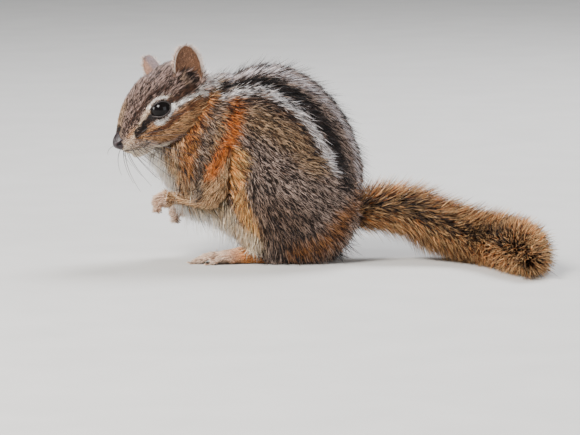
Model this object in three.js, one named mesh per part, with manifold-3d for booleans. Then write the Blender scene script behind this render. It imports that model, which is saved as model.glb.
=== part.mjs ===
// A life-size chipmunk sitting up on its haunches, forepaws held to the chest, its tail
// arching off the rump and coming down to lie along the ground.
// Millimetres, +Z up. The animal faces -X and its left side is towards -Y. The origin is
// the middle of the small flat under the rump, at ground level.
import * as THREE from "three";
import { mergeVertices } from "three/addons/utils/BufferGeometryUtils.js";
import Module from "manifold-3d";

const wasm = await Module();
wasm.setup();

const GAP = 0.3; // air between two parts that touch
const UP = new THREE.Vector3(0, 0, 1);
const SIDES = { left: -1, right: 1 }; // sign of Y

// Head: its own axes are X to the nose, Y to the animal's left, Z up, from midway between the eyes.
const HEAD_AT = [-48.5, -6.6, 46];
const HEAD_YAW = THREE.MathUtils.degToRad(26); // turned to the animal's left
const HEAD_PITCH = THREE.MathUtils.degToRad(27); // nose down
const HEAD_ROLL = THREE.MathUtils.degToRad(10); // left side up

// Head sections from the nose back: x, top, height of the widest level, bottom, half width.
const HEAD_SECTIONS = [
  [13.2, -2.6, -4.4, -6.0, 1.4],
  [12.4, -0.8, -4.8, -7.4, 3.0],
  [10.4, 1.5, -5.2, -8.6, 4.6],
  [7.8, 4.4, -5.4, -9.4, 6.2],
  [4.8, 6.9, -5.0, -10.4, 7.9],
  [1.6, 8.7, -4.4, -11.5, 9.5],
  [-2.0, 10.0, -4.0, -12.5, 10.8],
  [-6.0, 10.2, -3.6, -13.0, 11.5],
  [-10.0, 10.3, -3.0, -12.8, 11.5],
  [-14.0, 9.5, -2.4, -11.6, 10.6],
  [-17.4, 7.6, -2.0, -9.4, 8.8],
  [-19.8, 4.2, -1.4, -6.0, 5.4],
];
const HEAD_SQUARE = 2.15; // 2 is an ellipse, more is boxier

const EYE = { at: [-1.5, 8.1, -0.4], radius: 3.4, faces: [0.28, 0.94, 0.16] };
const LID = { forward: 1.95, radius: 2.95, thick: 0.55, low: 0.84 };
const NOSE = { at: [12.4, 0, -3.8], half: [1.7, 2.1, 2.1] };
const NOSTRIL = { at: [13.4, 1.4, -4.0], half: [1.1, 0.5, 0.75] };
const WHISKER_PAD = { at: [9.3, 3.2, -5.8], half: [3.2, 2.5, 2.4] };
const CHIN = { at: [6.8, 0, -8.9], half: [4.3, 3.6, 2.0] };
// The line of the mouth in the head's X and Z, cut this deep into the lips.
const MOUTH = [[13.2, -6.3], [11.6, -7.0], [9.8, -7.8], [8.0, -8.1], [6.2, -7.7], [4.8, -6.7]];
const MOUTH_WIDE = 0.5;
const MOUTH_DEEP = 0.8;

// Ears: base and tip in the head's axes with Y outwards, and the way the cup faces.
const EARS = {
  left: { base: [-12.0, 8.5, -1.8], tip: [-16.8, 13.1, 13.2], faces: [0.34, 0.93, 0.05] },
  right: { base: [-10.2, 8.4, -0.4], tip: [-13.4, 13.2, 13.6], faces: [0.5, 0.86, 0.05] },
};
const EAR_THICK = 1.0;
// Ear sections: share of the height, half width, depth of the cup.
const EAR_SECTIONS = [
  [0, 2.9, 2.6],
  [0.18, 3.6, 2.9],
  [0.42, 4.2, 2.5],
  [0.66, 4.1, 1.9],
  [0.84, 3.2, 1.2],
  [0.95, 1.9, 0.7],
  [1, 0.7, 0.3],
];
const EAR_WRAP = THREE.MathUtils.degToRad(82);

// Trunk sections fan round the hunched body: back X and Z, belly X and Z, half width.
const TRUNK_SECTIONS = [
  [-31.4, 57.4, -48.2, 33.6, 9.6],
  [-27.0, 57.6, -44.8, 27.6, 12.2],
  [-21.4, 58.6, -41.8, 22.6, 14.0],
  [-15.2, 60.4, -37.6, 17.6, 15.4],
  [-7.8, 60.4, -32.4, 14.2, 16.6],
  [0.0, 57.4, -26.0, 11.4, 17.6],
  [7.1, 51.8, -18.6, 7.0, 18.2],
  [12.7, 44.3, -11.0, 2.0, 18.2],
  [16.4, 35.7, -4.0, -0.8, 17.4],
  [18.0, 27.9, 2.4, -0.8, 15.0],
  [17.0, 21.4, 7.6, 2.6, 11.0],
  [15.0, 16.6, 11.0, 7.4, 5.4],
];
const TRUNK_WIDEST = 0.54; // share of the way from back to belly
const TRUNK_SQUARE = 2.2;
const NECK_SEAM = { back: [-23.6, 57.9], belly: [-42.8, 24.4] }; // X and Z

const HAUNCH = { at: [-4, 12.2, 20], half: [20.2, 8.6, 19.6], square: 2.15 };

// Limb rows: X, Y outwards, Z, half width, half height.
const HIND_FOOT = [
  [-3.5, 12.0, 3.0, 2.9, 3.2],
  [-9.0, 12.2, 3.2, 2.9, 3.2],
  [-15.0, 12.5, 3.0, 2.9, 3.0],
  [-20.5, 12.8, 2.4, 3.2, 2.5],
  [-25.0, 13.0, 2.0, 3.3, 2.1],
];
const FOOT_TURN = { left: 0, right: -24 }; // degrees about the heel, the far foot set wider
const FOOT_BACK = { left: 0, right: 13 }; // how far the foot is set back
// Hind toes: root X, Y, tip X, Y, thickness. The first is the inner one.
const HIND_TOES = [
  [-20.6, 10.6, -25.0, 9.6, 0.95],
  [-25.2, 11.0, -31.2, 10.4, 1.15],
  [-26.0, 12.5, -33.0, 12.4, 1.2],
  [-25.6, 14.1, -32.2, 14.6, 1.2],
  [-22.0, 15.6, -27.6, 17.0, 1.1],
];
const TOE_RISE = 2.5; // height of a toe's middle joint
const CLAW = { length: 2.1, radius: 0.5 };

// Forelegs and paws, each side posed as it is held. Rows as for limbs.
const FORELEG = {
  left: {
    upper: [
      [-23.5, 10.6, 36.0, 5.4, 6.0],
      [-25.8, 11.8, 28.6, 5.4, 6.0],
      [-28.4, 12.0, 21.4, 4.4, 4.6],
    ],
    lower: [
      [-28.6, 12.0, 21.0, 4.0, 4.4],
      [-32.4, 10.6, 20.0, 3.5, 3.6],
      [-36.2, 9.0, 19.8, 2.7, 2.7],
      [-40.0, 7.8, 19.6, 2.3, 2.3],
    ],
  },
  right: {
    upper: [
      [-23.5, 10.6, 36.0, 5.4, 6.0],
      [-25.4, 11.6, 28.0, 5.4, 6.0],
      [-26.6, 11.4, 20.6, 4.4, 4.6],
    ],
    lower: [
      [-26.6, 11.2, 20.0, 4.0, 4.4],
      [-29.6, 9.2, 18.2, 3.5, 3.6],
      [-32.4, 7.4, 17.0, 2.7, 2.7],
      [-35.0, 6.2, 16.4, 2.2, 2.2],
    ],
  },
};
const PAW = {
  left: { at: [-42.6, 7.0, 19.2], half: [3.3, 2.8, 2.2], pitch: 0 },
  right: { at: [-37.8, 5.0, 15.0], half: [3.3, 2.8, 2.2], pitch: 10 },
};
// Fingers: root Y and tip Y about the paw's middle, length forward, how far the tip hangs down.
const FINGERS = [
  [-1.7, -2.2, 2.6, 2.6],
  [-0.6, -0.8, 3.3, 2.9],
  [0.6, 0.7, 3.2, 3.0],
  [1.7, 2.1, 2.4, 2.7],
];
const FINGER_THICK = 0.95;

// Tail: the bone's path, the radius of its dense underfur, and how far the hair tips stand off it.
const TAIL_PATH = [
  [9.0, 0, 11.5, 4.4, 1.6],
  [16.0, 0, 14.6, 4.6, 2.6],
  [24.0, -0.2, 15.6, 4.8, 3.2],
  [32.0, -0.8, 14.6, 5.0, 3.6],
  [39.4, -2.2, 11.6, 5.2, 4.0],
  [46.6, -5.0, 8.8, 5.4, 4.3],
  [53.2, -9.6, 7.2, 5.4, 4.5],
  [58.6, -15.8, 6.6, 5.4, 4.6],
  [62.6, -23.0, 6.4, 5.2, 4.6],
  [65.2, -31.0, 6.2, 4.8, 4.4],
  [66.6, -39.0, 5.8, 3.6, 4.0],
  [67.2, -45.0, 5.4, 1.6, 3.4],
];
const TAIL_SIDES = 8;
const TAIL_RINGS = 26;
const TAIL_NODES = ["tail_root", "tail_upper", "tail_lower", "tail_tip"];
const TAIL_SEAMS = [0.27, 0.52, 0.76]; // shares of the tail's path
const LOCK_TIERS = 13;
const LOCKS_PER_TIER = 6;
const LOCK = { length: 11.5, width: 4.6, thick: 1.3, rise: 34, sink: 1.4 };

const COLOURS = {
  back: [0x5b4636, 0.95],
  flank: [0xa8662c, 0.95],
  haunch: [0x6a5444, 0.95],
  head: [0x6e5443, 0.95],
  ear: [0x5a3a26, 0.9],
  eye: [0x07060a, 0.05],
  paw: [0xb98a63, 0.8],
  tail: [0x8c5526, 0.95],
};

// A closed three.js geometry as a solid, whichever way its faces were wound.
function solidOf(geometry) {
  const bare = geometry.index ? geometry.toNonIndexed() : geometry.clone();
  bare.deleteAttribute("normal");
  bare.deleteAttribute("uv");
  const merged = mergeVertices(bare, 1e-4);
  const triVerts = Uint32Array.from(merged.index.array);
  const vertProperties = merged.attributes.position.array;
  const solid = new wasm.Manifold(new wasm.Mesh({ numProp: 3, vertProperties, triVerts }));
  if (solid.volume() > 0) return solid;
  return new wasm.Manifold(new wasm.Mesh({ numProp: 3, vertProperties, triVerts: triVerts.slice().reverse() }));
}

function geometryOf(solid) {
  const { numProp, vertProperties, triVerts } = solid.getMesh();
  const positions = [];
  for (const v of triVerts) positions.push(...vertProperties.subarray(v * numProp, v * numProp + 3));
  const geometry = new THREE.BufferGeometry();
  geometry.setAttribute("position", new THREE.Float32BufferAttribute(positions, 3));
  geometry.computeVertexNormals();
  return geometry;
}

// The largest closed surface, with its outer skin only.
function largest(solid) {
  return solid.decompose().reduce((a, b) => (b.volume() > a.volume() ? b : a));
}

const joined = (solids) => solids.reduce((a, b) => a.add(b));
const without = (solid, cutters) => cutters.reduce((a, b) => a.subtract(b), solid);
const aboveGround = (solid) => solid.trimByPlane([0, 0, 1], 0);

// Rows of numbers made into more rows by a smooth curve through each column.
function between(rows, count) {
  const steps = rows.map((row, i) => i);
  const cubic = new THREE.CubicInterpolant(steps, rows.flat(), rows[0].length);
  const last = rows.length - 1;
  return Array.from({ length: count }, (none, i) => [...cubic.evaluate((i / (count - 1)) * last)]);
}

const squared = (value, power) => Math.sign(value) * Math.abs(value) ** (2 / power);

function ring(sides, pointAt) {
  return Array.from({ length: sides }, (none, k) => pointAt((k / sides) * 2 * Math.PI));
}

// A skin over sections of the same even number of points, closed at both ends.
function loft(sections) {
  const sides = sections[0].length;
  const last = (sections.length - 1) * sides;
  const index = [];
  for (let row = 0; row < last; row += sides) {
    for (let k = 0; k < sides; k++) {
      const [a, b] = [row + k, row + ((k + 1) % sides)];
      index.push(a, b, a + sides, b, b + sides, a + sides);
    }
  }
  for (let k = 0; k < sides / 2 - 1; k++) {
    const [a, b, c, d] = [k, k + 1, sides - 2 - k, sides - 1 - k];
    index.push(a, c, b, a, d, c);
    index.push(last + a, last + b, last + c, last + a, last + c, last + d);
  }
  return solidOf(new THREE.BufferGeometry().setFromPoints(sections.flat()).setIndex(index));
}

// A rounded body: a sphere pressed out to these half sizes and made boxier by square.
function blob({ at, half, square = 2, sides = 20, rings = 14 }, grow = 0, turn = null) {
  const geometry = new THREE.SphereGeometry(1, sides, rings);
  const place = geometry.attributes.position;
  for (let i = 0; i < place.count; i++) {
    const p = new THREE.Vector3().fromBufferAttribute(place, i);
    const size = (Math.abs(p.x) ** square + Math.abs(p.y) ** square + Math.abs(p.z) ** square) ** (1 / square);
    p.divideScalar(size).multiply(new THREE.Vector3(...half.map((h) => h + grow)));
    place.setXYZ(i, p.x, p.y, p.z);
  }
  if (turn) geometry.applyMatrix4(turn);
  return solidOf(geometry.translate(...at));
}

const ROUND_END = [72, 38].map(THREE.MathUtils.degToRad);
const SMALL_END = [52].map(THREE.MathUtils.degToRad);

// A round-ended limb through rows of X, Y, Z, half width and half height.
function limb(rows, { sides = 12, count = 10, grow = 0, end = ROUND_END } = {}) {
  const path = between(rows, count);
  const at = (i) => new THREE.Vector3(...path[THREE.MathUtils.clamp(i, 0, count - 1)].slice(0, 3));
  const sections = [];
  path.forEach((row, i) => {
    const along = at(i + 1).sub(at(i - 1)).normalize();
    const across = new THREE.Vector3().crossVectors(UP, along).normalize();
    const lift = new THREE.Vector3().crossVectors(along, across);
    const [wide, high] = [row[3] + grow, row[4] + grow];
    let tilts = [0];
    if (i === 0) tilts = [...end.map((t) => -t), 0];
    if (i === count - 1) tilts = [0, ...end.toReversed()];
    for (const tilt of tilts) {
      sections.push(
        ring(sides, (t) =>
          at(i)
            .addScaledVector(along, wide * Math.sin(tilt))
            .addScaledVector(across, wide * Math.cos(tilt) * Math.sin(t))
            .addScaledVector(lift, high * Math.cos(tilt) * Math.cos(t)),
        ),
      );
    }
  });
  return loft(sections);
}

const mirrorY = (rows, sign) => rows.map(([x, y, ...rest]) => [x, y * sign, ...rest]);

// A toe or finger over its middle joint, with a claw that curves down from its tip.
function digit(root, joint, tip, thick) {
  const toe = limb(
    [
      [...root, thick * 1.1, thick * 1.1],
      [...joint, thick, thick],
      [...tip, thick * 0.85, thick * 0.85],
    ],
    { sides: 6, count: 4, end: SMALL_END },
  );
  const out = new THREE.Vector3(...tip).sub(new THREE.Vector3(...joint)).normalize();
  const start = new THREE.Vector3(...tip);
  const steps = [
    [0, 0, 1],
    [0.6, -0.05, 0.75],
    [1, -0.28, 0.22],
  ];
  const claw = limb(
    steps.map(([far, drop, size]) => {
      const p = start.clone().addScaledVector(out, (CLAW.length + thick * 0.8) * far);
      return [p.x, p.y, Math.max(p.z + CLAW.length * drop, 0.3), CLAW.radius * size, CLAW.radius * size];
    }),
    { sides: 6, count: 3, end: [] },
  );
  return toe.add(claw);
}

// Head
function headBody(grow = 0) {
  const rows = between(HEAD_SECTIONS, 17);
  const last = rows.length - 1;
  const sections = rows.map(([x, top, widest, bottom, half], i) => {
    const end = i === 0 ? grow : i === last ? -grow : 0;
    return ring(22, (t) => {
      const reach = Math.cos(t) > 0 ? top - widest + grow : widest - bottom + grow;
      return new THREE.Vector3(
        x + end,
        (half + grow) * squared(Math.sin(t), HEAD_SQUARE),
        widest + reach * squared(Math.cos(t), HEAD_SQUARE),
      );
    });
  });
  return loft(sections);
}

const flip = (at, sign) => [at[0], at[1] * sign, at[2]];

function muzzleForms(sign) {
  return blob({ ...WHISKER_PAD, at: flip(WHISKER_PAD.at, sign), sides: 12, rings: 7 });
}

function facing(way) {
  const turn = new THREE.Quaternion().setFromUnitVectors(UP, new THREE.Vector3(...way).normalize());
  return new THREE.Matrix4().makeRotationFromQuaternion(turn);
}

function lids(sign) {
  const way = flip(EYE.faces, sign);
  const rim = new THREE.TorusGeometry(LID.radius, LID.thick, 6, 16);
  rim.scale(LID.low, 1, 1);
  rim.applyMatrix4(facing(way));
  const out = new THREE.Vector3(...way).setLength(LID.forward);
  return solidOf(rim.translate(...flip(EYE.at, sign)).translate(...out));
}

function eyeball(sign, grow = 0) {
  const ball = new THREE.SphereGeometry(EYE.radius + grow, 14, 9);
  return solidOf(ball.translate(...flip(EYE.at, sign)));
}

function mouthCut() {
  const half = MOUTH_WIDE / 2;
  const upper = MOUTH.map(([x, z]) => new THREE.Vector2(x, z + half));
  const lower = MOUTH.map(([x, z]) => new THREE.Vector2(x, z - half)).reverse();
  const wide = 2 * HEAD_SECTIONS[8][4];
  const band = new THREE.ExtrudeGeometry(new THREE.Shape([...upper, ...lower]), { depth: wide, bevelEnabled: false });
  band.translate(0, 0, -wide / 2).rotateX(Math.PI / 2);
  return solidOf(band).subtract(headForms(-MOUTH_DEEP));
}

function headForms(grow = 0) {
  const chin = blob({ ...CHIN, sides: 16, rings: 10 }, grow);
  return joined([headBody(grow), chin]);
}

function makeHead() {
  const nose = blob({ ...NOSE, sides: 12, rings: 8 });
  const forms = [headForms(), nose, muzzleForms(1), muzzleForms(-1), lids(1), lids(-1)];
  const nostrils = [1, -1].map((sign) => blob({ ...NOSTRIL, at: flip(NOSTRIL.at, sign), sides: 8, rings: 6 }));
  return without(joined(forms), [eyeball(1, GAP), eyeball(-1, GAP), mouthCut(), ...nostrils]);
}

function ear(name, sign) {
  const { base: foot, tip, faces: way } = EARS[name];
  const base = new THREE.Vector3(...flip(foot, sign));
  const rise = new THREE.Vector3(...flip(tip, sign)).sub(base);
  const height = rise.length();
  rise.normalize();
  const faces = new THREE.Vector3(...flip(way, sign));
  faces.addScaledVector(rise, -faces.dot(rise)).normalize();
  const across = new THREE.Vector3().crossVectors(faces, rise);
  const half = 5;
  const sections = between(EAR_SECTIONS, 9).map(([share, wide, cup]) => {
    const point = (step, side) => {
      const angle = (step / half) * EAR_WRAP;
      const deep = (cup * (Math.cos(angle) - Math.cos(EAR_WRAP))) / (1 - Math.cos(EAR_WRAP));
      const inward = faces.clone().multiplyScalar(Math.cos(angle)).addScaledVector(across, -Math.sin(angle));
      return base
        .clone()
        .addScaledVector(rise, share * height)
        .addScaledVector(across, (wide * Math.sin(angle)) / Math.sin(EAR_WRAP))
        .addScaledVector(faces, -deep)
        .addScaledVector(inward, (side * EAR_THICK) / 2);
    };
    const steps = Array.from({ length: 2 * half + 1 }, (none, k) => k - half);
    return [...steps.map((s) => point(s, 1)), ...steps.toReversed().map((s) => point(s, -1))];
  });
  return loft(sections);
}

// Trunk, neck and haunches
function trunk(grow = 0) {
  const rows = between(TRUNK_SECTIONS, 19);
  const sections = rows.map(([backX, backZ, bellyX, bellyZ, half], i) => {
    const back = new THREE.Vector3(backX, 0, backZ);
    const belly = new THREE.Vector3(bellyX, 0, bellyZ);
    const middle = back.clone().lerp(belly, TRUNK_WIDEST);
    // A grown trunk is longer too: its rump moves out by as much.
    if (i === rows.length - 1) {
      const out = new THREE.Vector3(belly.z - back.z, 0, back.x - belly.x).setLength(grow);
      for (const point of [back, belly, middle]) point.sub(out);
    }
    const upward = back.clone().sub(middle);
    const downward = middle.clone().sub(belly);
    upward.setLength(upward.length() + grow);
    downward.setLength(downward.length() + grow);
    return ring(20, (t) => {
      const lift = squared(Math.cos(t), TRUNK_SQUARE);
      return middle
        .clone()
        .addScaledVector(lift > 0 ? upward : downward, lift)
        .setY((half + grow) * squared(Math.sin(t), TRUNK_SQUARE));
    });
  });
  return loft(sections);
}

function neckSeam(side) {
  const [backX, backZ] = NECK_SEAM.back;
  const [bellyX, bellyZ] = NECK_SEAM.belly;
  const across = new THREE.Vector3(backX - bellyX, 0, backZ - bellyZ).normalize();
  const normal = new THREE.Vector3().crossVectors(across, new THREE.Vector3(0, 1, 0)).multiplyScalar(side);
  const offset = normal.dot(new THREE.Vector3(backX, 0, backZ)) + GAP / 2;
  return [normal.toArray(), offset];
}

function haunch(sign, grow = 0) {
  const { at, half, square } = HAUNCH;
  return blob({ at: flip(at, sign), half, square, sides: 20, rings: 12 }, grow);
}

// Feet and paws
function placeFoot(name, solid) {
  const heel = HIND_FOOT[0];
  return solid
    .translate([-heel[0], -heel[1], 0])
    .rotate([0, 0, FOOT_TURN[name]])
    .translate([heel[0] + FOOT_BACK[name], heel[1], 0]);
}

function hindFoot(name, grow = 0) {
  const pieces = [limb(HIND_FOOT, { count: 7, sides: 10, grow })];
  if (!grow) {
    for (const [rootX, rootY, tipX, tipY, thick] of HIND_TOES) {
      const joint = [rootX + 0.45 * (tipX - rootX), (rootY + tipY) / 2, TOE_RISE];
      pieces.push(digit([rootX, rootY, 1.7], joint, [tipX, tipY, 1.05], thick));
    }
  }
  const foot = placeFoot(name, joined(pieces));
  return SIDES[name] > 0 ? foot : foot.mirror([0, 1, 0]);
}

function forepaw(name) {
  const { at, half, pitch } = PAW[name];
  const palm = blob({ at: [0, 0, 0], half, sides: 12, rings: 8 });
  const fingers = FINGERS.map(([rootY, tipY, reach, hang]) =>
    digit([-1.6, rootY, 0.2], [-reach, (rootY + tipY) / 2, 0.1], [-reach + 0.2, tipY, -hang], FINGER_THICK),
  );
  return joined([palm, ...fingers]).rotate([0, -pitch, 0]).translate(flip(at, SIDES[name]));
}

// Tail
const tailRows = between(TAIL_PATH, TAIL_RINGS);
const tailAt = (i) => new THREE.Vector3(...tailRows[THREE.MathUtils.clamp(i, 0, TAIL_RINGS - 1)].slice(0, 3));

function tailFrame(i) {
  const along = tailAt(i + 1).sub(tailAt(i - 1)).normalize();
  const across = new THREE.Vector3().crossVectors(UP, along).normalize();
  return { along, across, lift: new THREE.Vector3().crossVectors(along, across) };
}

const ringOf = (share) => Math.round(share * (TAIL_RINGS - 1));

function tailCore(from, to, grow = 0) {
  const sections = [];
  for (let i = ringOf(from); i <= ringOf(to); i++) {
    const { along, across, lift } = tailFrame(i);
    const shift = i === ringOf(to) ? grow : 0;
    sections.push(
      ring(TAIL_SIDES, (t) =>
        tailAt(i)
          .addScaledVector(along, shift)
          .addScaledVector(across, (tailRows[i][3] + grow) * Math.sin(t))
          .addScaledVector(lift, (tailRows[i][3] + grow) * Math.cos(t)),
      ),
    );
  }
  return loft(sections);
}

// A small seeded draw, so that every build is the same.
let seed = 7;
function draw(low, high) {
  seed = (seed * 16807) % 2147483647;
  return low + ((high - low) * seed) / 2147483647;
}

// One flat, tapered lock: it leaves the core at a slant and bends back along the tail.
function lock(i, angle, { length, width, rise }, grow = 0) {
  const { along, across, lift } = tailFrame(i);
  const out = across.clone().multiplyScalar(Math.sin(angle)).addScaledVector(lift, Math.cos(angle));
  const side = new THREE.Vector3().crossVectors(along, out);
  const [core, stand] = [tailRows[i][3], tailRows[i][4]];
  const root = tailAt(i).addScaledVector(out, core - LOCK.sink);
  const shares = [
    [0, 0.8],
    [0.35, 1],
    [0.7, 0.72],
    [1, 0.12],
  ];
  const sections = shares.map(([share, size]) => {
    const lean = rise * (1 - 0.25 * share);
    const middle = root
      .clone()
      .addScaledVector(along, length * share * Math.cos(lean))
      .addScaledVector(out, (stand + LOCK.sink) * Math.sin((share * Math.PI) / 2));
    const wide = (width * size) / 2 + grow;
    const thick = (LOCK.thick * Math.max(size, 0.4)) / 2 + grow;
    const outward = out.clone().addScaledVector(along, -Math.tan(rise) * 0.5).normalize();
    return [
      middle.clone().addScaledVector(side, wide),
      middle.clone().addScaledVector(outward, thick),
      middle.clone().addScaledVector(side, -wide),
      middle.clone().addScaledVector(outward, -thick),
    ];
  });
  return loft(sections);
}

function tailLocks() {
  const locks = [];
  for (let tier = 0; tier < LOCK_TIERS; tier++) {
    const share = 0.1 + (0.86 * tier) / (LOCK_TIERS - 1);
    const i = ringOf(share);
    for (let k = 0; k < LOCKS_PER_TIER; k++) {
      const angle = ((k + 0.5 * (tier % 2) + draw(-0.12, 0.12)) / LOCKS_PER_TIER) * 2 * Math.PI;
      const size = {
        length: LOCK.length * draw(0.85, 1.12),
        width: LOCK.width * draw(0.9, 1.1),
        rise: THREE.MathUtils.degToRad(LOCK.rise * draw(0.85, 1.15)),
      };
      locks.push({ share: i / (TAIL_RINGS - 1), grown: () => lock(i, angle, size, GAP), solid: lock(i, angle, size) });
    }
  }
  return locks;
}

function tailParts(bodyCutters) {
  const bounds = [0, ...TAIL_SEAMS, 1];
  const locks = tailLocks();
  let taken = joined(bodyCutters);
  return TAIL_NODES.map((name, n) => {
    const [from, to] = [bounds[n], bounds[n + 1]];
    const own = locks.filter(({ share }) => share >= from && share < to);
    const core = tailCore(from, to);
    const solid = largest(aboveGround(joined([core, ...own.map((l) => l.solid)]).subtract(taken)));
    const crossing = own.filter(({ share }) => share > to - 0.13);
    taken = joined([tailCore(from, to, GAP), ...crossing.map((l) => l.grown())]);
    return [name, solid];
  });
}

// Assembly
const chipmunk = new THREE.Group();
const head = new THREE.Group();
const [sinYaw, cosYaw] = [Math.sin(HEAD_YAW), Math.cos(HEAD_YAW)];
const [sinPitch, cosPitch] = [Math.sin(HEAD_PITCH), Math.cos(HEAD_PITCH)];
const headAxes = new THREE.Matrix4().makeBasis(
  new THREE.Vector3(-cosPitch * cosYaw, -cosPitch * sinYaw, -sinPitch),
  new THREE.Vector3(sinYaw, -cosYaw, 0),
  new THREE.Vector3(-sinPitch * cosYaw, -sinPitch * sinYaw, cosPitch),
);
head.position.set(...HEAD_AT);
head.setRotationFromMatrix(headAxes.multiply(new THREE.Matrix4().makeRotationX(HEAD_ROLL)));
head.updateMatrix();
chipmunk.add(head);

function add(group, name, solid, [colour, roughness]) {
  const material = new THREE.MeshStandardMaterial({ color: colour, roughness, metalness: 0 });
  const mesh = new THREE.Mesh(geometryOf(solid), material);
  mesh.name = name;
  group.add(mesh);
}

const headSolid = largest(makeHead());
const headCutter = headForms(GAP).transform(head.matrix.toArray());
add(head, "head", headSolid, COLOURS.head);
for (const [name, sign] of Object.entries(SIDES)) {
  // The head's own Y points to its left, against the body's.
  add(head, `eye_${name}`, eyeball(-sign), COLOURS.eye);
  add(head, `ear_${name}`, largest(ear(name, -sign).subtract(headForms(GAP))), COLOURS.ear);
}

const both = (make) => Object.keys(SIDES).map(make);
function foreleg(name, grow = 0) {
  const bones = Object.values(FORELEG[name]);
  return joined(bones.map((rows) => limb(mirrorY(rows, SIDES[name]), { count: 5, sides: 10, grow })));
}
const limbCutters = [
  ...both((name) => haunch(SIDES[name], GAP)),
  ...both((name) => foreleg(name, GAP)),
  ...both((name) => hindFoot(name, GAP)),
];

const body = trunk();
const neck = without(body.trimByPlane(...neckSeam(1)), [headCutter, ...limbCutters]);
const torso = without(body.trimByPlane(...neckSeam(-1)), [headCutter, ...limbCutters]);
add(chipmunk, "neck", largest(neck), COLOURS.flank);
add(chipmunk, "torso", largest(aboveGround(torso)), COLOURS.back);

for (const [name, sign] of Object.entries(SIDES)) {
  const foot = hindFoot(name);
  const thigh = without(haunch(sign), [hindFoot(name, GAP), foreleg(name, GAP)]);
  add(chipmunk, `hind_leg_${name}`, largest(aboveGround(thigh)), COLOURS.haunch);
  add(chipmunk, `hind_foot_${name}`, largest(aboveGround(foot)), COLOURS.paw);
  add(chipmunk, `foreleg_${name}`, largest(foreleg(name).subtract(headCutter)), COLOURS.flank);
  add(chipmunk, `forepaw_${name}`, largest(forepaw(name).subtract(foreleg(name, GAP))), COLOURS.paw);
}

const bodyCutters = [trunk(GAP), ...both((name) => haunch(SIDES[name], GAP))];
for (const [name, solid] of tailParts(bodyCutters)) add(chipmunk, name, solid, COLOURS.tail);

export default chipmunk;
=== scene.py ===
"""A small striped chipmunk sitting up on its haunches: one skin over the solids, fur as solid
tufts that follow the lie of the coat, and a plain studio around it. Millimetres until the
meshes are made. The animal faces -X, and its left side is towards -Y, where the camera is."""

import bpy
import numpy as np
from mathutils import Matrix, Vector
from mathutils.bvhtree import BVHTree


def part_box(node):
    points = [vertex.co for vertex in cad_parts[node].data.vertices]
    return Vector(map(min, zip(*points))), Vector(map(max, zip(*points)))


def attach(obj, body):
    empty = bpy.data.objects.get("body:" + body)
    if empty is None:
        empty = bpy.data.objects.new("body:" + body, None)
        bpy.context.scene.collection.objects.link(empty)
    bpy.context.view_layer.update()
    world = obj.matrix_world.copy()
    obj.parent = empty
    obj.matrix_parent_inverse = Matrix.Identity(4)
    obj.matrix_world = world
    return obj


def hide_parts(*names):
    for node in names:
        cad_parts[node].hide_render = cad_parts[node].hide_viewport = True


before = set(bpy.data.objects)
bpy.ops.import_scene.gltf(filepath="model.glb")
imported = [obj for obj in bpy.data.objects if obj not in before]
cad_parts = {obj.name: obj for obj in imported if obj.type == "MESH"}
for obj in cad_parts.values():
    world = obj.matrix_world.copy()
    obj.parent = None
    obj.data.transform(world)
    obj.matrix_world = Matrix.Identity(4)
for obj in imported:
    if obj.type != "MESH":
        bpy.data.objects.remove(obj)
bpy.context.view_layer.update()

MM = 0.001
SIDES = {"left": -1.0, "right": 1.0}
BLOCK = 20000  # how many places are measured against a path at a time
random = np.random.RandomState(11)

# Head axes: X to the nose, Y to the animal's left, Z up, from midway between the eyes.
HEAD_AT = np.array([-48.5, -6.6, 46.0])
HEAD_YAW, HEAD_PITCH, HEAD_ROLL = np.radians([26.0, 27.0, 10.0])

# Trunk sections fan round the body: back X and Z, belly X and Z, half width.
TRUNK = [
    (-31.4, 57.4, -48.2, 33.6, 9.6),
    (-27.0, 57.6, -44.8, 27.6, 12.2),
    (-21.4, 58.6, -41.8, 22.6, 14.0),
    (-15.2, 60.4, -37.6, 17.6, 15.4),
    (-7.8, 60.4, -32.4, 14.2, 16.6),
    (0.0, 57.4, -26.0, 11.4, 17.6),
    (7.1, 51.8, -18.6, 7.0, 18.2),
    (12.7, 44.3, -11.0, 2.0, 18.2),
    (16.4, 35.7, -4.0, -0.8, 17.4),
    (18.0, 27.9, 2.4, -0.8, 15.0),
    (17.0, 21.4, 7.6, 2.6, 11.0),
]
# Guides across each section: share of the way to the belly, share of the half width, downward drop.
TRUNK_GUIDES = [(0, 0, 0), (0.15, 0.6, -0.15), (0.5, 1, -0.35), (0.85, 0.6, -0.2), (1, 0, 0)]
# Tail path: X, Y, Z and the radius of the dense underfur.
TAIL = [
    (9.0, 0, 11.5, 4.4),
    (16.0, 0, 14.6, 4.6),
    (24.0, -0.2, 15.6, 4.8),
    (32.0, -0.8, 14.6, 5.0),
    (39.4, -2.2, 11.6, 5.2),
    (46.6, -5.0, 8.8, 5.4),
    (53.2, -9.6, 7.2, 5.4),
    (58.6, -15.8, 6.6, 5.4),
    (62.6, -23.0, 6.4, 5.2),
    (65.2, -31.0, 6.2, 4.8),
    (66.6, -39.0, 5.8, 3.6),
    (67.2, -45.0, 5.4, 1.6),
]
TAIL_RINGS = 120  # steps along the smooth path
TAIL_NODES = ["tail_root", "tail_upper", "tail_lower", "tail_tip"]
TAIL_UNDERFUR = 2.3  # the tail's flesh lies this far inside its underfur
TAIL_END = -40.0  # beyond this Y the tail is seen end on, and its tufts stand closer
TAIL_END_CROWDING = 2.2
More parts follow.
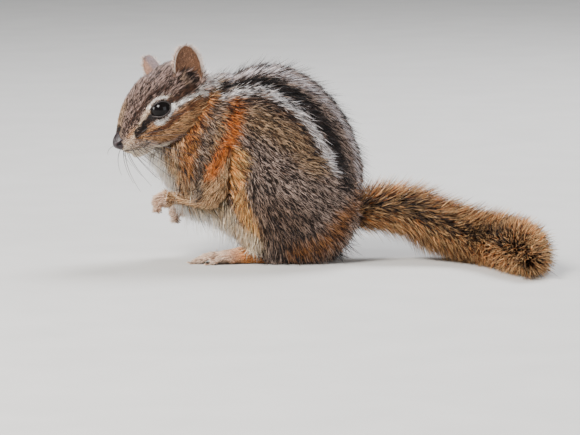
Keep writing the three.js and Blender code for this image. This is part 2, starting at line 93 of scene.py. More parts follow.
# Along the tail, from 0 to 1: the length and the slant of its tufts, and where its dark line runs.
TAIL_LENGTH = ([0, 0.1, 0.3, 0.9, 1], [0.6, 0.85, 1, 1.05, 1.35])
TAIL_SLANT = ([0, 0.1, 0.3, 0.8, 0.93, 1], [1, 1.08, 1, 0.88, 0.6, 0.42])
TAIL_TIP_SLANT = np.radians(78)
TAIL_LINE_AT = ([0, 0.15, 0.6, 1], [-30, -75, -60, -30])

FLESH = ["head", "ear_left", "ear_right", "neck", "torso"] + [
    f"{part}_{side}" for part in ("foreleg", "forepaw", "hind_leg", "hind_foot") for side in SIDES
]
EYE_NODES = ["eye_left", "eye_right"]
TRUNK_FAMILIES = ["neck", "torso", "hind_leg"]
NEAT_FAMILIES = ["ear", "forepaw", "hind_foot"]
VOXEL = 0.42
SEAM_GROW = 0.3  # closes the air between two solids before they are made one skin
# How deep the coat is over each part, and how much its facets are smoothed.
COAT_DEPTH = {
    "head": 1.0, "ear": 0.15, "neck": 1.9, "torso": 2.6, "foreleg": 1.4,
    "forepaw": 0.15, "hind_leg": 2.5, "hind_foot": 0.25, "tail": 0.0, "eye": 0.1,
}
SMOOTHING = {
    "head": 0.5, "ear": 0.12, "neck": 1.0, "torso": 1.0, "foreleg": 0.8,
    "forepaw": 0.12, "hind_leg": 1.0, "hind_foot": 0.15, "tail": 0.4, "eye": 0.25,
}
SNOUT_SHALLOWER = 0.75  # how much of the coat's depth is lost towards the nose
BLEND_STEPS = 10  # passes that carry depth and smoothing over from part to part
RELAX_STEPS = 44  # passes that smooth the skin, by turns inwards and out again
RELAX = (0.5, -0.515)
SINK_STEPS = 4  # passes that lead from the coat's surface down to the hide

# Face, in the head's axes with Y outwards.
EYE_FACES = np.array([0.28, 0.94, 0.16])
EYE_ALONG = np.array([1.0, 0.0, 0.12])
EYE_OPENING = (3.05, 2.25)  # half length and half height between the lids
EYE_CORNER = (0.9, 0.35)  # how far the front corner is drawn forward and down
EYE_SINK = 0.5  # the skin between the lids lies this far inside the eye
EYE_NEAR = 2.2  # tufts turn and shorten within this many lid sizes
LID_THICK = 0.25
LID_RISE = 0.16
NOSE_AT = np.array([12.0, 0.0, -3.2])
NOSE_HALF = np.array([2.8, 2.45, 3.1])
NOSE_OVERHANG = 0.25  # the coat's roots reach this far over the leather
NOSTRIL = [((0.60, 0.76, -0.22), 0.24, 1.0), ((0.34, 0.92, -0.08), 0.15, 0.8)]  # place, width, depth
MOUTH = [(13.2, -6.2), (11.6, -6.9), (9.8, -7.7), (8.0, -8.0), (6.2, -7.6), (5.0, -6.9)]
MOUTH_BARE = 0.28
WHISKER_DROOP = np.array([-0.30, 0.0, -0.30])
WHISKER_RADII = (0.12, 0.035)
# Ears, left then right: foot, tip, and the way the cup faces.
EARS = {
    1: ((-12.0, 8.5, -1.8), (-16.8, 13.1, 13.2), (0.34, 0.93, 0.05)),
    -1: ((-10.2, 8.4, -0.4), (-13.4, 13.2, 13.6), (0.5, 0.86, 0.05)),
}
# Half width by share of the height, then the canal by height and place forward of the middle.
EAR_HALF = ((0, 0.18, 0.42, 0.66, 0.84, 0.95, 1), (2.9, 3.6, 4.2, 4.1, 3.2, 1.9, 0.7))
EAR_CANAL = [(6.8, 0.2, 0), (4.4, -2.2, 0), (2.0, -3.0, 0)]
EAR_TALL = 16.4

# Toes from the heel, which turns each foot: root X and Y, tip X and Y, thickness.
HEEL = (-3.5, 12.0)
FOOT_TURN = {"left": 0.0, "right": -24.0}
FOOT_BACK = {"left": 0.0, "right": 13.0}
TOES = [
    (-20.6, 10.6, -25.0, 9.6, 0.95),
    (-25.2, 11.0, -31.2, 10.4, 1.15),
    (-26.0, 12.5, -33.0, 12.4, 1.2),
    (-25.6, 14.1, -32.2, 14.6, 1.2),
    (-22.0, 15.6, -27.6, 17.0, 1.1),
]
# Forepaws by place and pitch, and fingers by root Y, tip Y, reach and how far the tip hangs.
PAWS = {"left": ((-42.6, 7.0, 19.2), 0.0), "right": ((-37.8, 5.0, 15.0), 10.0)}
FINGERS = [(-1.7, -2.2, 2.6, 2.6), (-0.6, -0.8, 3.3, 2.9), (0.6, 0.7, 3.2, 3.0), (1.7, 2.1, 2.4, 2.7)]
FINGER_THICK = 0.95
# Claws: length, radius and the way they curl.
CLAWS = {"toe": (1.5, 0.42, (0.0, 0.0, -0.28)), "finger": (0.9, 0.32, (0.8, 0.0, 0.1))}


def colour(red, green, blue):
    """A colour named as it looks, as the linear light the renderer works in."""
    c = np.array([red, green, blue], float)
    return np.where(c <= 0.04045, c / 12.92, ((c + 0.055) / 1.055) ** 2.4)


BLACK = colour(0.10, 0.07, 0.07)
WHITE = colour(0.95, 0.92, 0.89)
UMBER = colour(0.24, 0.15, 0.11)
PINK = colour(0.85, 0.64, 0.54)
# Painted shade: near-black for the ear's well and the notch below it.
EAR_WELL_SHADE = colour(0.07, 0.05, 0.05)
NOSE_LEATHER = colour(0.15, 0.115, 0.125)
# Painted shade: near-black for the nostrils and the groove below the nose.
NOSTRIL_SHADE = colour(0.04, 0.03, 0.03)
TAIL_TAWNY = colour(0.59, 0.42, 0.27)
TAIL_ORANGE = colour(0.78, 0.44, 0.18)
TAIL_LINE = colour(0.17, 0.12, 0.10)
TAIL_TIP = colour(0.90, 0.72, 0.50)
TAIL_LINE_TIP = colour(0.38, 0.26, 0.17)
TAIL_BAND_TIP = colour(0.17, 0.11, 0.08)
# An ear's cup, its foot and the painted shade of its canal; its back, behind and before; its rim and its
# hair tips.
EAR_CUP = colour(0.40, 0.26, 0.17)
EAR_FOOT = colour(0.54, 0.43, 0.35)
EAR_CANAL_SHADE = colour(0.06, 0.04, 0.04)
EAR_BACK = colour(0.50, 0.43, 0.44)
EAR_REAR = colour(0.88, 0.85, 0.83)
EAR_FRONT = colour(0.64, 0.49, 0.41)
EAR_RIM = colour(0.86, 0.80, 0.76)
EAR_TIP = colour(0.84, 0.66, 0.52)

# Markings, laid one over another: path, half width, softness of the edge, colour of the hair,
# colour of its tip, share of dark hairs. The path's Y is outwards from the animal's middle.
BODY_BASE = (colour(0.38, 0.29, 0.24), colour(0.79, 0.69, 0.63), 0.62)
BODY_MARKS = {
    "olive": ([(-15, 15, 45), (-8.3, 16.4, 42.3), (-2.2, 16.7, 38.6), (3.1, 18.4, 32.6)],
        5, 6, colour(0.53, 0.39, 0.27), colour(0.79, 0.66, 0.52), 0.50),
    # Painted shade: darker hair low on the haunch, where it is shaded from above.
    "haunch_low_painted_shade": ([(-13, 18.5, 18), (-8, 20, 16), (-3, 20, 14), (-5, 19.5, 8), (-12, 19, 10)],
        4.5, 7, colour(0.30, 0.22, 0.18), colour(0.67, 0.55, 0.47), 0.68),
    "rump": ([(16.5, 11, 21), (12.3, 17, 14.6), (9.2, 17.8, 9.4), (4.6, 17.8, 5.8), (-3, 17.6, 3.6)],
        3, 6, colour(0.50, 0.30, 0.16), colour(0.76, 0.51, 0.28), 0.50),
    "thigh_edge": ([(-20.5, 16.5, 33.5), (-21.8, 16.2, 24.6), (-19.4, 17.6, 15.5), (-16.4, 18.2, 9.3)],
        3, 3.6, colour(0.84, 0.55, 0.28), colour(0.96, 0.78, 0.52), 0.12),
    "shoulder": ([(-24, 8, 55), (-27, 12, 48), (-30, 14.2, 40), (-32, 14.6, 32), (-34, 14, 24)],
        5, 4, colour(0.60, 0.43, 0.28), colour(0.82, 0.68, 0.51), 0.40),
    "collar": ([(-30, 12, 49), (-35, 12.5, 42), (-37.2, 12.5, 36.7), (-38, 11.6, 28.7)],
        4.5, 4, colour(0.66, 0.37, 0.16), colour(0.82, 0.58, 0.34), 0.36),
    "bib_edge": ([(-39.5, 9.5, 38), (-41, 9.5, 31), (-39, 9.5, 24), (-37, 10, 18)],
        3, 3, colour(0.70, 0.50, 0.33), colour(0.87, 0.75, 0.60), 0.16),
    "arm_band": ([(-24.5, 12.2, 51), (-27, 12.4, 49), (-29.6, 14.1, 42), (-31.6, 14.2, 35),
        (-33, 13.8, 28.5), (-33.6, 13.6, 21)],
        2, 3, colour(0.42, 0.33, 0.27), colour(0.70, 0.61, 0.54), 0.50),
    "orange": ([(-21.4, 13.4, 49.6), (-21.8, 14.8, 45), (-22.4, 15.6, 40.9), (-25.3, 16.1, 35.1),
        (-28.8, 15.9, 28.5)],
        2.4, 3.2, colour(0.76, 0.37, 0.11), colour(0.87, 0.54, 0.24), 0.18),
    "belly_cream": ([(-31, 9, 19.5), (-27, 9.5, 15), (-22, 12, 10), (-18, 15, 6)],
        5, 4, colour(0.84, 0.73, 0.58), colour(0.95, 0.90, 0.82), 0.03),
    "jaw_side": ([(-45.1, 6.4, 34), (-43.9, 7.6, 31.5), (-41.6, 8.7, 29), (-40.1, 9.3, 26.9)],
        2.2, 2.4, colour(0.72, 0.54, 0.36), colour(0.90, 0.78, 0.62), 0.10),
    "chest": ([(-52, 0, 32), (-47, 0, 29), (-43, 0, 22), (-37, 0, 16), (-31, 0, 12), (-24, 0, 8),
        (-16, 0, 4)],
        8.5, 4, colour(0.93, 0.89, 0.83), colour(0.98, 0.96, 0.94), 0.01),
    "third_dark": ([(-23.8, 13.6, 47), (-18.9, 13.4, 50), (-14.3, 13.3, 51.4), (-9.8, 14.5, 48.5),
        (-5.3, 14.9, 46.5), (-1.7, 15.5, 43), (1.4, 16.1, 38.5), (3.7, 17, 35)],
        1.1, 1.4, colour(0.20, 0.12, 0.09), colour(0.34, 0.22, 0.15), 0.7),
    "white": ([(-24.6, 10.6, 52.4), (-22, 11, 52.9), (-16.6, 11.2, 54.1), (-11.6, 11.4, 54.1),
        (-8, 12.9, 51.3), (-3.5, 13.4, 48.9), (-0.4, 14.2, 45.6), (2.8, 15, 41.6), (5.5, 15.4, 37.1),
        (7.7, 16.7, 33.1), (9.6, 17.4, 29.6)],
        1.5, 1.6, colour(0.80, 0.76, 0.75), colour(0.97, 0.95, 0.95), 0.16),
    "second_dark": ([(-25.6, 7.8, 54.6), (-18.8, 8.9, 56.3), (-15.7, 9.3, 56.6), (-9.9, 10.2, 55.6),
        (-5.3, 11, 53.4), (-0.8, 11.4, 51.2), (2.8, 12, 47.6), (6.4, 12.6, 42.7), (8.7, 13.4, 37.7),
        (10.9, 14.2, 32.8), (12.3, 15.9, 28.5), (13.2, 16.6, 24.9)],
        2.3, 1.6, colour(0.12, 0.08, 0.075), colour(0.20, 0.14, 0.12), 0.8),
    "light": ([(-24, 4.2, 57.2), (-18.2, 5, 58.7), (-12.6, 5, 59.6), (-6.2, 6, 58.4), (1.2, 6.5, 54.8),
        (6.5, 6.2, 50.8), (11.7, 6, 44.2), (15.4, 6, 36.9), (16.6, 7, 31.2), (16.6, 8, 25)],
        2.2, 1.8, colour(0.68, 0.60, 0.58), colour(0.96, 0.93, 0.94), 0.30),
    "middle_dark": ([(-23.5, 0, 58.6), (-15.2, 0, 61), (-7.8, 0, 61), (0, 0, 58), (7.1, 0, 52.4),
        (12.7, 0, 45), (16.8, 0, 36), (18.2, 0, 28), (17, 0, 21)],
        2, 1.6, colour(0.15, 0.11, 0.10), colour(0.34, 0.29, 0.28), 0.7),
    "nape": ([(-31.5, 0, 57.6), (-29.6, 2.8, 57), (-28.4, 4.7, 56.4), (-29, 7.2, 54.9)],
        2, 1.8, colour(0.82, 0.78, 0.76), colour(0.97, 0.95, 0.94), 0.08),
}
ARM_MARKS = ["shoulder", "arm_band", "orange"]
LIMB_BASE = (colour(0.64, 0.46, 0.30), colour(0.84, 0.71, 0.55), 0.32)
INSTEP = (colour(0.70, 0.41, 0.18), colour(0.86, 0.60, 0.34), 0.20)
TOE = (colour(0.74, 0.60, 0.50), colour(0.92, 0.83, 0.75), 0.08)
HEAD_BASE = (colour(0.34, 0.25, 0.20), colour(0.75, 0.63, 0.58), 0.62)
HEAD_MARKS = {
    "cheek": ([(9, 6.4, -5.3), (5, 8.4, -7), (0, 9.6, -8), (-5, 10.5, -7.4), (-10, 10.9, -6.5),
        (-16, 8, -6)],
        4.2, 2.5, colour(0.65, 0.44, 0.27), colour(0.86, 0.68, 0.49), 0.36),
    "snout": ([(12, 0, -0.6), (9.5, 0, 2.4), (6.5, 0, 4.8)],
        2.4, 2.4, colour(0.47, 0.35, 0.25), colour(0.76, 0.65, 0.53), 0.38),
    "muzzle": ([(12.3, 2.8, -4.7), (10.4, 4.6, -6.2), (8, 5, -7.8), (6, 5, -9)],
        2, 1.8, colour(0.66, 0.55, 0.46), colour(0.84, 0.75, 0.69), 0.22),
    "throat": ([(11, 0, -9), (7, 0, -11), (0, 0, -13), (-8, 0, -14), (-16, 0, -11)],
        4.8, 3.4, colour(0.82, 0.73, 0.62), colour(0.93, 0.88, 0.82), 0.03),
    "brown_line": ([(5.1, 7.6, -5.2), (2.1, 9.2, -5.6), (-1.4, 10.5, -5.3), (-5.3, 11.3, -4.4),
        (-9.9, 11.4, -4), (-14.7, 10.2, -3.8), (-19.4, 5.6, -3.3)],
        0.9, 0.9, colour(0.38, 0.22, 0.13), colour(0.46, 0.29, 0.18), 0.4),
    "pale_line": ([(12.2, 4.2, -4.6), (10.6, 4.9, -3.9), (8.9, 5.5, -3), (6.2, 6.8, -1.2),
        (3.6, 7.9, 0.9), (1, 8.8, 2.6), (-1.6, 9.4, 3.3), (-4, 10, 2.9), (-5.4, 10.6, 1.6)],
        0.75, 0.9, colour(0.76, 0.63, 0.50), colour(0.92, 0.84, 0.75), 0.08),
    "brow": ([(1.8, 8.6, 2.2), (-0.6, 9.2, 3.2), (-2.8, 9.7, 3.3), (-4.6, 10.3, 2.4)],
        0.65, 0.7, WHITE, WHITE, 0),
    "brow_edge": ([(10.8, 2.9, -0.4), (7.7, 5, 0.9), (4.3, 6.8, 3), (1.5, 7.8, 4.6), (-1.1, 8.5, 5.4),
        (-3.8, 9, 5.2), (-6.4, 9.7, 4.1)],
        0.7, 0.8, colour(0.24, 0.15, 0.11), colour(0.34, 0.22, 0.16), 0.6),
    "behind_eye": ([(-4.6, 10.6, 0.6), (-6.9, 11, 0.6), (-9.6, 11.2, 0.6), (-12.6, 10.6, 0.8)],
        1.35, 1, colour(0.27, 0.17, 0.12), colour(0.40, 0.27, 0.19), 0.5),
    "before_eye": ([(8.4, 5.6, -3.2), (6.3, 6.8, -2.3), (4.6, 7.6, -1.5), (3, 8.4, -0.9), (2, 8.9, -0.8)],
        1.1, 0.8, BLACK, UMBER, 0.6),
    "whisker_patch": ([(8.2, 5.8, -3.6), (5.8, 7.1, -3)],
        1, 1.3, BLACK, UMBER, 0.6),
    "under_eye": ([(2.2, 9.2, -3.3), (0.6, 9.8, -3.6), (-1.3, 10.4, -3.2), (-3.3, 10.9, -2.1),
        (-5, 11.2, -0.9)],
        0.85, 0.6, WHITE, WHITE, 0),
    "below_ear": ([(-4.6, 11.1, -1.8), (-6.6, 11.4, -1.5), (-9, 11.5, -1.4), (-12.1, 11, -1.7),
        (-15.5, 9.9, -1.8)],
        0.75, 0.9, WHITE, WHITE, 0.04),
    "nose_top": ([(13.4, 0, -1.2), (12.2, 0.8, -0.2), (11, 1.2, 0.7)],
        1, 0.9, BLACK, UMBER, 0.5),
    "ear_lining": ([(-12, 9, 4.9), (-12.3, 9.9, 2.6)],
        1, 1.2, colour(0.58, 0.46, 0.36), colour(0.78, 0.67, 0.57), 0.35),
    # Painted shade in the ear's well and in the notch below it.
    "ear_well_painted_shade": ([(-14, 8.5, 5), (-14.3, 9.1, 3.5), (-13.9, 10, 1.8)],
        1, 0.8, EAR_WELL_SHADE, BLACK, 0.6),
    "ear_notch_painted_shade": ([(-13.9, 10, 1.6), (-13.3, 10.6, -0.3), (-13.1, 10.7, -1.6)],
        0.45, 0.6, EAR_WELL_SHADE, BLACK, 0.6),
    "behind_ear": ([(-14.8, 10.2, -2.1), (-16, 9.6, -1), (-18.4, 7.2, 0.7), (-19.8, 4.2, 2.4),
        (-19.8, 3, 3.4)],
        1.4, 1.3, colour(0.88, 0.84, 0.81), WHITE, 0.04),
}
# Where the hair points: X, Y outwards, Z, then the way it lies.
HEAD_LIE = [
    (12, 0, -1.5, -1, 0.1, 0.7), (8, 0, 3.2, -1, 0, 0.8), (3, 0, 7, -1, 0.1, 0.5),
    (-5, 0, 10, -1, 0.1, 0.05), (-14, 0, 9, -1, 0, -0.5), (9, 5, -4, -1, 0.4, 0.15),
    (2, 9, -6, -1, 0.2, -0.15), (-5, 11, -6, -1, 0, -0.25), (-2, 8, -11, -1, 0, -0.3),
    (8, 0, -10, -1, 0, -0.3), (0, 0, -13, -1, 0, -0.1), (-8, 11, 0, -1, 0, 0), (-2, 8.5, 5, -1, 0.1, 0.2),
    (-9, 9, 5, -1, 0.3, 0.35), (-15, 10, -3, -1, -0.2, -0.1), (12, 3, -6, -0.9, 0.6, -0.3),
    (6, 5, 2, -1, 0.2, 0.5), (-18, 0, 2, -1, 0, -0.8), (11, 2, -8, -1, 0.3, -0.3),
]
HAUNCH_LIE = [
    (-16, 19, 34, 0.7, 0, -0.6), (-4, 20, 38, 0.95, 0, -0.35), (8, 19, 34, 0.9, 0, -0.45),
    (-20, 17, 22, 0.35, 0, -0.95), (-6, 20.8, 24, 0.75, 0, -0.65), (8, 19, 20, 0.8, 0, -0.6),
    (-18, 17, 10, 0.25, 0, -1), (-4, 20, 10, 0.6, 0, -0.8), (10, 17, 10, 0.9, 0, -0.45),
    (-10, 19, 4, 0.2, 0, -1), (4, 18, 4, 0.7, 0, -0.7),
]
FORELEG_LIE = [
    (-24, 15, 38, -0.15, 0, -1), (-26, 15, 30, -0.25, 0, -1), (-29, 15, 22, -0.7, 0, -0.7),
    (-33, 11, 19, -1, -0.1, 0), (-38, 8, 20, -1, -0.1, 0.1), (-22, 12, 46, 0.1, 0, -1),
]
PAW_LIE = {"forepaw": (-1, 0, -0.35), "hind_foot": (-1, 0, -0.2)}
HANG = np.array([-0.5, 0.0, -2.0])  # the way the coat is drawn on the underside
# Tufts of each part: how many on a square millimetre, length, width, the slant they stand at.
TUFTS = {
    "head": (19.0, 2.1, 0.24, 19),
    "ear": (18.0, 0.9, 0.14, 16),
    "neck": (11.0, 3.9, 0.34, 27),
    "torso": (9.0, 4.9, 0.37, 28),
    "foreleg": (13.0, 2.9, 0.28, 26),
    "forepaw": (20.0, 1.8, 0.17, 27),
    "hind_leg": (10.0, 4.2, 0.35, 27),
    "hind_foot": (18.0, 1.5, 0.18, 18),
    "tail": (14.0, 9.8, 0.26, 46),
}
# The pieces of the coat: name, the parts they cover, and whether left and right are two pieces.
COAT_GROUPS = [
    ("head", ["head"], False),
    ("ear", ["ear"], True),
    ("body", ["neck", "torso"], True),
    ("leg", ["hind_leg", "hind_foot"], True),
    ("arm", ["foreleg", "forepaw"], True),
    ("tail", ["tail"], False),
]
TUFTS_PER_PIECE = 33000
# A tuft's triangles, and where its corners lie on the bake map round the place of its root.
TUFT_FACES = np.array([(1, 3, 0), (2, 1, 0), (3, 2, 0), (3, 1, 4), (1, 2, 4), (2, 3, 4)])
TUFT_PATCH = 0.003
TUFT_PATCH_AT = np.array([(0, -1), (-1, 0.2), (1, 0.2), (0, 0.2), (0, 1)]) * TUFT_PATCH / 2
GUARD_SHARE = 0.06
# How unlike the tufts of one part are in length, width and slant, and those of an ear's edge in length.
LENGTH_RANGE = (0.75, 1.2)
WIDTH_RANGE = (0.8, 1.2)
SLANT_RANGE = (0.7, 1.35)
FRINGE_RANGE = (0.9, 2.2)
UNEVEN = 0.16  # how far single tufts stray from the lie
WAVY = 0.10  # and how far they do so together
STRAY = 0.6  # how far a tuft's colour may be taken from beside it
COAT_GRAIN = (0.72, 1.28)  # from the darkest to the brightest of the grain over the coat's colour
COAT_GRAIN_SCALE = 900
COAT_GLOSS = 0.35

# Studio, in metres: place, size, power and tint of each lamp.
FLOOR_HALF = 1.6
LAMP_AIM = (0.0, 0.0, 0.03)
LAMPS = [
    ("key", (-0.46, -0.56, 0.66), 0.34, 17.0, (1, 0.97, 0.93)),
    ("fill", (0.60, -0.70, 0.30), 0.60, 4.0, (0.92, 0.95, 1)),
    ("rim", (0.30, 0.50, 0.75), 0.40, 12.0, (0.95, 0.96, 1)),
    ("front", (-0.80, -0.06, 0.20), 0.25, 4.0, (1, 0.98, 0.95)),
]
CAMERA_RISE = np.radians(7.0)
CAMERA_AWAY = 1500.0
CAMERA_AIM = np.array([-4.65, 0.0, 12.65])
PICTURE_WIDE = 179.8  # millimetres across the picture at the animal
SENSOR_WIDE = 36


def ramp(values, start, span):
    """0 up to start, rising to 1 over the span, which may run backwards."""
    return np.clip((values - start) / span, 0, 1)


def mixed(first, second, share):
    return first * (1 - share) + second * share


def unit(v):
    return v / np.maximum(np.linalg.norm(v, axis=-1, keepdims=True), 1e-9)


# Axes and eyes


def head_axes():
    turns = (HEAD_YAW, HEAD_PITCH, HEAD_ROLL)
    (sy, cy), (sp, cp), (sr, cr) = [(np.sin(a), np.cos(a)) for a in turns]
    aimed = np.array([[-cp * cy, -cp * sy, -sp], [sy, -cy, 0], [-sp * cy, -sp * sy, cp]]).T
    return aimed @ np.array([[1, 0, 0], [0, cr, -sr], [0, sr, cr]])


HEAD_AXES = head_axes()


def from_head(points):
    return np.asarray(points, float) @ HEAD_AXES.T + HEAD_AT


def to_head(points):
    return (points - HEAD_AT) @ HEAD_AXES


def eye_basis(side):
    """The way an eye faces, the way along its opening and the way up it."""
    faces = unit(EYE_FACES * [1, side, 1])
    along = unit(EYE_ALONG - faces * (EYE_ALONG @ faces))
    return faces, along, np.cross(faces, along) * side


def centre_of(node):
    low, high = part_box(node)
    return (np.array(low) + np.array(high)) / 2 / MM, (high[0] - low[0]) / 2 / MM


EYES = {side: centre_of(f"eye_{side}") for side in SIDES}
EYES_LOCAL = {-SIDES[side]: (to_head(at[None])[0], radius) for side, (at, radius) in EYES.items()}


def inside(local, at, half):
    return np.linalg.norm((local - at) / half, axis=1) < 1


def eye_clearance(local):
    """How far a place on the head is outside the lids, in lid sizes, and the way that leads off."""
    out = np.full(len(local), 99.0)
    away = np.zeros_like(local)
    for sign, (at, _) in EYES_LOCAL.items():
        faces, along, up = eye_basis(sign)
        off = local - at
        x, y = off @ along, off @ up
        size = np.hypot(x / (EYE_OPENING[0] + LID_THICK), y / (EYE_OPENING[1] + LID_THICK))
        near = (off @ faces > -1.5) & (size < out)
        out[near] = size[near]
        away[near] = unit(x[near, None] * along + y[near, None] * up)
    return out, away


# Meshes


def read(items, field, wide, kind=np.int32):
    """One field of everything in a mesh's list, as rows this wide."""
    values = np.empty(len(items) * wide, kind)
    items.foreach_get(field, values)
    return values.reshape(-1, wide)


def triangles_of(mesh):
    mesh.calc_loop_triangles()
    return read(mesh.vertices, "co", 3, np.float32).astype(float), read(mesh.loop_triangles, "vertices", 3)


def welded(points, tris):
    """Vertices that share a place made one."""
    keys = np.round(points * 1e3).astype(np.int64)
    _, first, back = np.unique(keys, axis=0, return_index=True, return_inverse=True)
    tris = back.reshape(-1)[tris]
    whole = (tris[:, 0] != tris[:, 1]) & (tris[:, 1] != tris[:, 2]) & (tris[:, 0] != tris[:, 2])
    return points[first], tris[whole]


def gathered(index, values, count):
    """For each of count places, the sum of the values that point to it."""
    sums = [np.bincount(index, column, count) for column in values.T]
    return np.stack(sums, 1)


def normals_of(points, tris):
    a, b, c = (points[tris[:, k]] for k in range(3))
    face = np.cross(b - a, c - a)
    return unit(sum(gathered(tris[:, k], face, len(points)) for k in range(3)))


def build_mesh(name, points, faces, colours=None):
    mesh = bpy.data.meshes.new(name)
    count, corners = faces.shape
    mesh.vertices.add(len(points))
    mesh.vertices.foreach_set("co", (points * MM).astype(np.float32).ravel())
    mesh.loops.add(faces.size)
    mesh.loops.foreach_set("vertex_index", faces.astype(np.int32).ravel())
    mesh.polygons.add(count)
    mesh.polygons.foreach_set("loop_start", np.arange(0, faces.size, corners, dtype=np.int32))
    mesh.polygons.foreach_set("loop_total", np.full(count, corners, np.int32))
    mesh.polygons.foreach_set("use_smooth", np.full(count, True))
    mesh.update(calc_edges=True)
    if colours is not None:
        layer = mesh.attributes.new("coat", "FLOAT_COLOR", "POINT")
        solid = np.hstack([colours, np.ones((len(colours), 1))])
        layer.data.foreach_set("color", solid.astype(np.float32).ravel())
    piece = bpy.data.objects.new(name, mesh)
    bpy.context.collection.objects.link(piece)
    return piece


def merged(parts):
    points, tris, start = [], [], 0
    for p, t in parts:
        points.append(p)
        tris.append(t + start)
        start += len(p)
    return np.vstack(points), np.vstack(tris)


def outward(points, tris):
    a, b, c = (points[tris[:, k]] for k in range(3))
    return tris if np.einsum("ij,ij->i", a, np.cross(b, c)).sum() > 0 else tris[:, ::-1]


def band(rows, sides, closed=False):
    """Triangles between the rows of a grid whose columns close round, as its rows may too."""
    k = np.arange(sides)
    tris = []
    for row in range(rows if closed else rows - 1):
        here, there = row * sides, (row + 1) % rows * sides
        a, b, c, d = here + k, here + (k + 1) % sides, there + k, there + (k + 1) % sides
        tris += [np.stack([a, b, c], 1), np.stack([b, d, c], 1)]
    return np.vstack(tris)


def capped(grid, first, last):
    """A closed skin over the rows of a grid, with a point at each end."""
    rows, sides = grid.shape[:2]
    k = np.arange(sides)
    foot = (rows - 1) * sides
    start = np.stack([k, np.full(sides, rows * sides), (k + 1) % sides], 1)
    end = np.stack([foot + k, foot + (k + 1) % sides, np.full(sides, rows * sides + 1)], 1)
    points = np.vstack([grid.reshape(-1, 3), first, last])
    return points, outward(points - points.mean(0), np.vstack([band(rows, sides), start, end]))


def rings(centres, radii, aside, ahead, sides):
    """A row of points round each centre, given the two ways across the path."""
    t = np.linspace(0, 2 * np.pi, sides, endpoint=False)[None, :, None]
    return centres[:, None] + radii * (aside[:, None] * np.sin(t) + ahead[:, None] * np.cos(t))


def ways_across(along):
    """Level across a path, and up from it."""
    across = unit(np.cross(np.broadcast_to([0, 0, 1.0], along.shape), along))
    return across, np.cross(along, across)


def ring_tube(centres, radii, along, sides=18):
    """A closed tube through these centres."""
    across, lift = ways_across(along)
    return capped(rings(centres, radii[:, None, None], across, lift, sides), centres[0], centres[-1])


def closed_tube(loop, wide, faces, flat=1.0, sides=10):
    """A tube round a loop, flattened the way it faces."""
    along = unit(np.roll(loop, -1, 0) - np.roll(loop, 1, 0))
    across = unit(np.cross(along, np.broadcast_to(faces, loop.shape)))
    points = rings(loop, wide, flat * np.cross(across, along), across, sides).reshape(-1, 3)
    return points, outward(points - points.mean(0), band(len(loop), sides, closed=True))


def tapered(path, start, end, sides=6):
    path = np.asarray(path, float)
    return ring_tube(path, np.linspace(start, end, len(path)), unit(np.gradient(path, axis=0)), sides)


def sphere(centre, radius, rows=32, sides=48):
    a = np.linspace(0, np.pi, rows + 1)[1:-1]
    b = np.linspace(0, 2 * np.pi, sides, endpoint=False)
    ways = [(np.sin(a), np.cos(b)), (np.sin(a), np.sin(b)), (np.cos(a), np.ones(sides))]
    grid = np.stack([np.outer(down, about) for down, about in ways], 2)
    points, tris = capped(grid, [0, 0, 1], [0, 0, -1])
    return points * radius + centre, tris


def smooth_rows(rows, count):
    """A smooth curve through rows of numbers, as count rows."""
    rows = np.asarray(rows, float)
    t = np.linspace(0, len(rows) - 1, count)
    i = np.clip(t.astype(int), 0, len(rows) - 2)
    f = (t - i)[:, None]
    p0, p1, p2, p3 = (rows[np.clip(i + k, 0, len(rows) - 1)] for k in (-1, 0, 1, 2))
    bend = (2 * p0 - 5 * p1 + 4 * p2 - p3) * f**2
    return 0.5 * (2 * p1 + (p2 - p0) * f + bend + (3 * p1 - p0 - 3 * p2 + p3) * f**3)


TAIL_ROWS = smooth_rows(TAIL, TAIL_RINGS + 1)
TAIL_ALONG = unit(np.gradient(TAIL_ROWS[:, :3], axis=0))


# Skin


def tail_flesh():
    keep = slice(0, TAIL_RINGS - 3, 4)
    radii = np.maximum(TAIL_ROWS[keep, 3] - TAIL_UNDERFUR, 0.6)
    return ring_tube(TAIL_ROWS[keep, :3], radii, TAIL_ALONG[keep])


def gather_flesh():
    """The solids' points and triangles, and the node that each triangle is of."""
    parts, names = [], []
    for node in FLESH + EYE_NODES + ["tail"]:
        if node == "tail":
            p, t = tail_flesh()
        else:
            p, t = triangles_of(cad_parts[node].data)
            p, t = welded(p / MM, t)
            p = p + normals_of(p, t) * SEAM_GROW
        parts.append((p, t))
        names += [node] * len(t)
    return *merged(parts), np.array(names)


def largest_island(count, edges):
    """Which vertices belong to the largest connected part."""
    label = np.arange(count)
    while True:
        low = np.minimum(label[edges[:, 0]], label[edges[:, 1]])
        new = label.copy()
        np.minimum.at(new, edges[:, 0], low)
        np.minimum.at(new, edges[:, 1], low)
        new = new[new]
        if (new == label).all():
            break
        label = new
    names, sizes = np.unique(label, return_counts=True)
    return label == names[sizes.argmax()]


def remeshed(points, tris):
    """One closed skin of quads over everything, and its edges."""
    raw = build_mesh("raw", points, tris)
    change = raw.modifiers.new("one_skin", "REMESH")
    change.mode = "VOXEL"
    change.voxel_size = VOXEL * MM
    result = raw.evaluated_get(bpy.context.evaluated_depsgraph_get()).to_mesh()
    co = read(result.vertices, "co", 3, np.float32) / MM
    quads = read(result.loops, "vertex_index", 1).reshape(-1, 4)
    edges = read(result.edges, "vertices", 2)
    bpy.data.objects.remove(raw)
    kept = largest_island(len(co), edges)
    new = np.cumsum(kept) - 1
    return co[kept].astype(float), new[quads[kept[quads[:, 0]]]], new[edges[kept[edges[:, 0]]]]


FAMILY = {
    node: node.rsplit("_", 1)[0] if node.endswith(("_left", "_right")) else node
    for node in FLESH + EYE_NODES + ["tail"]
}


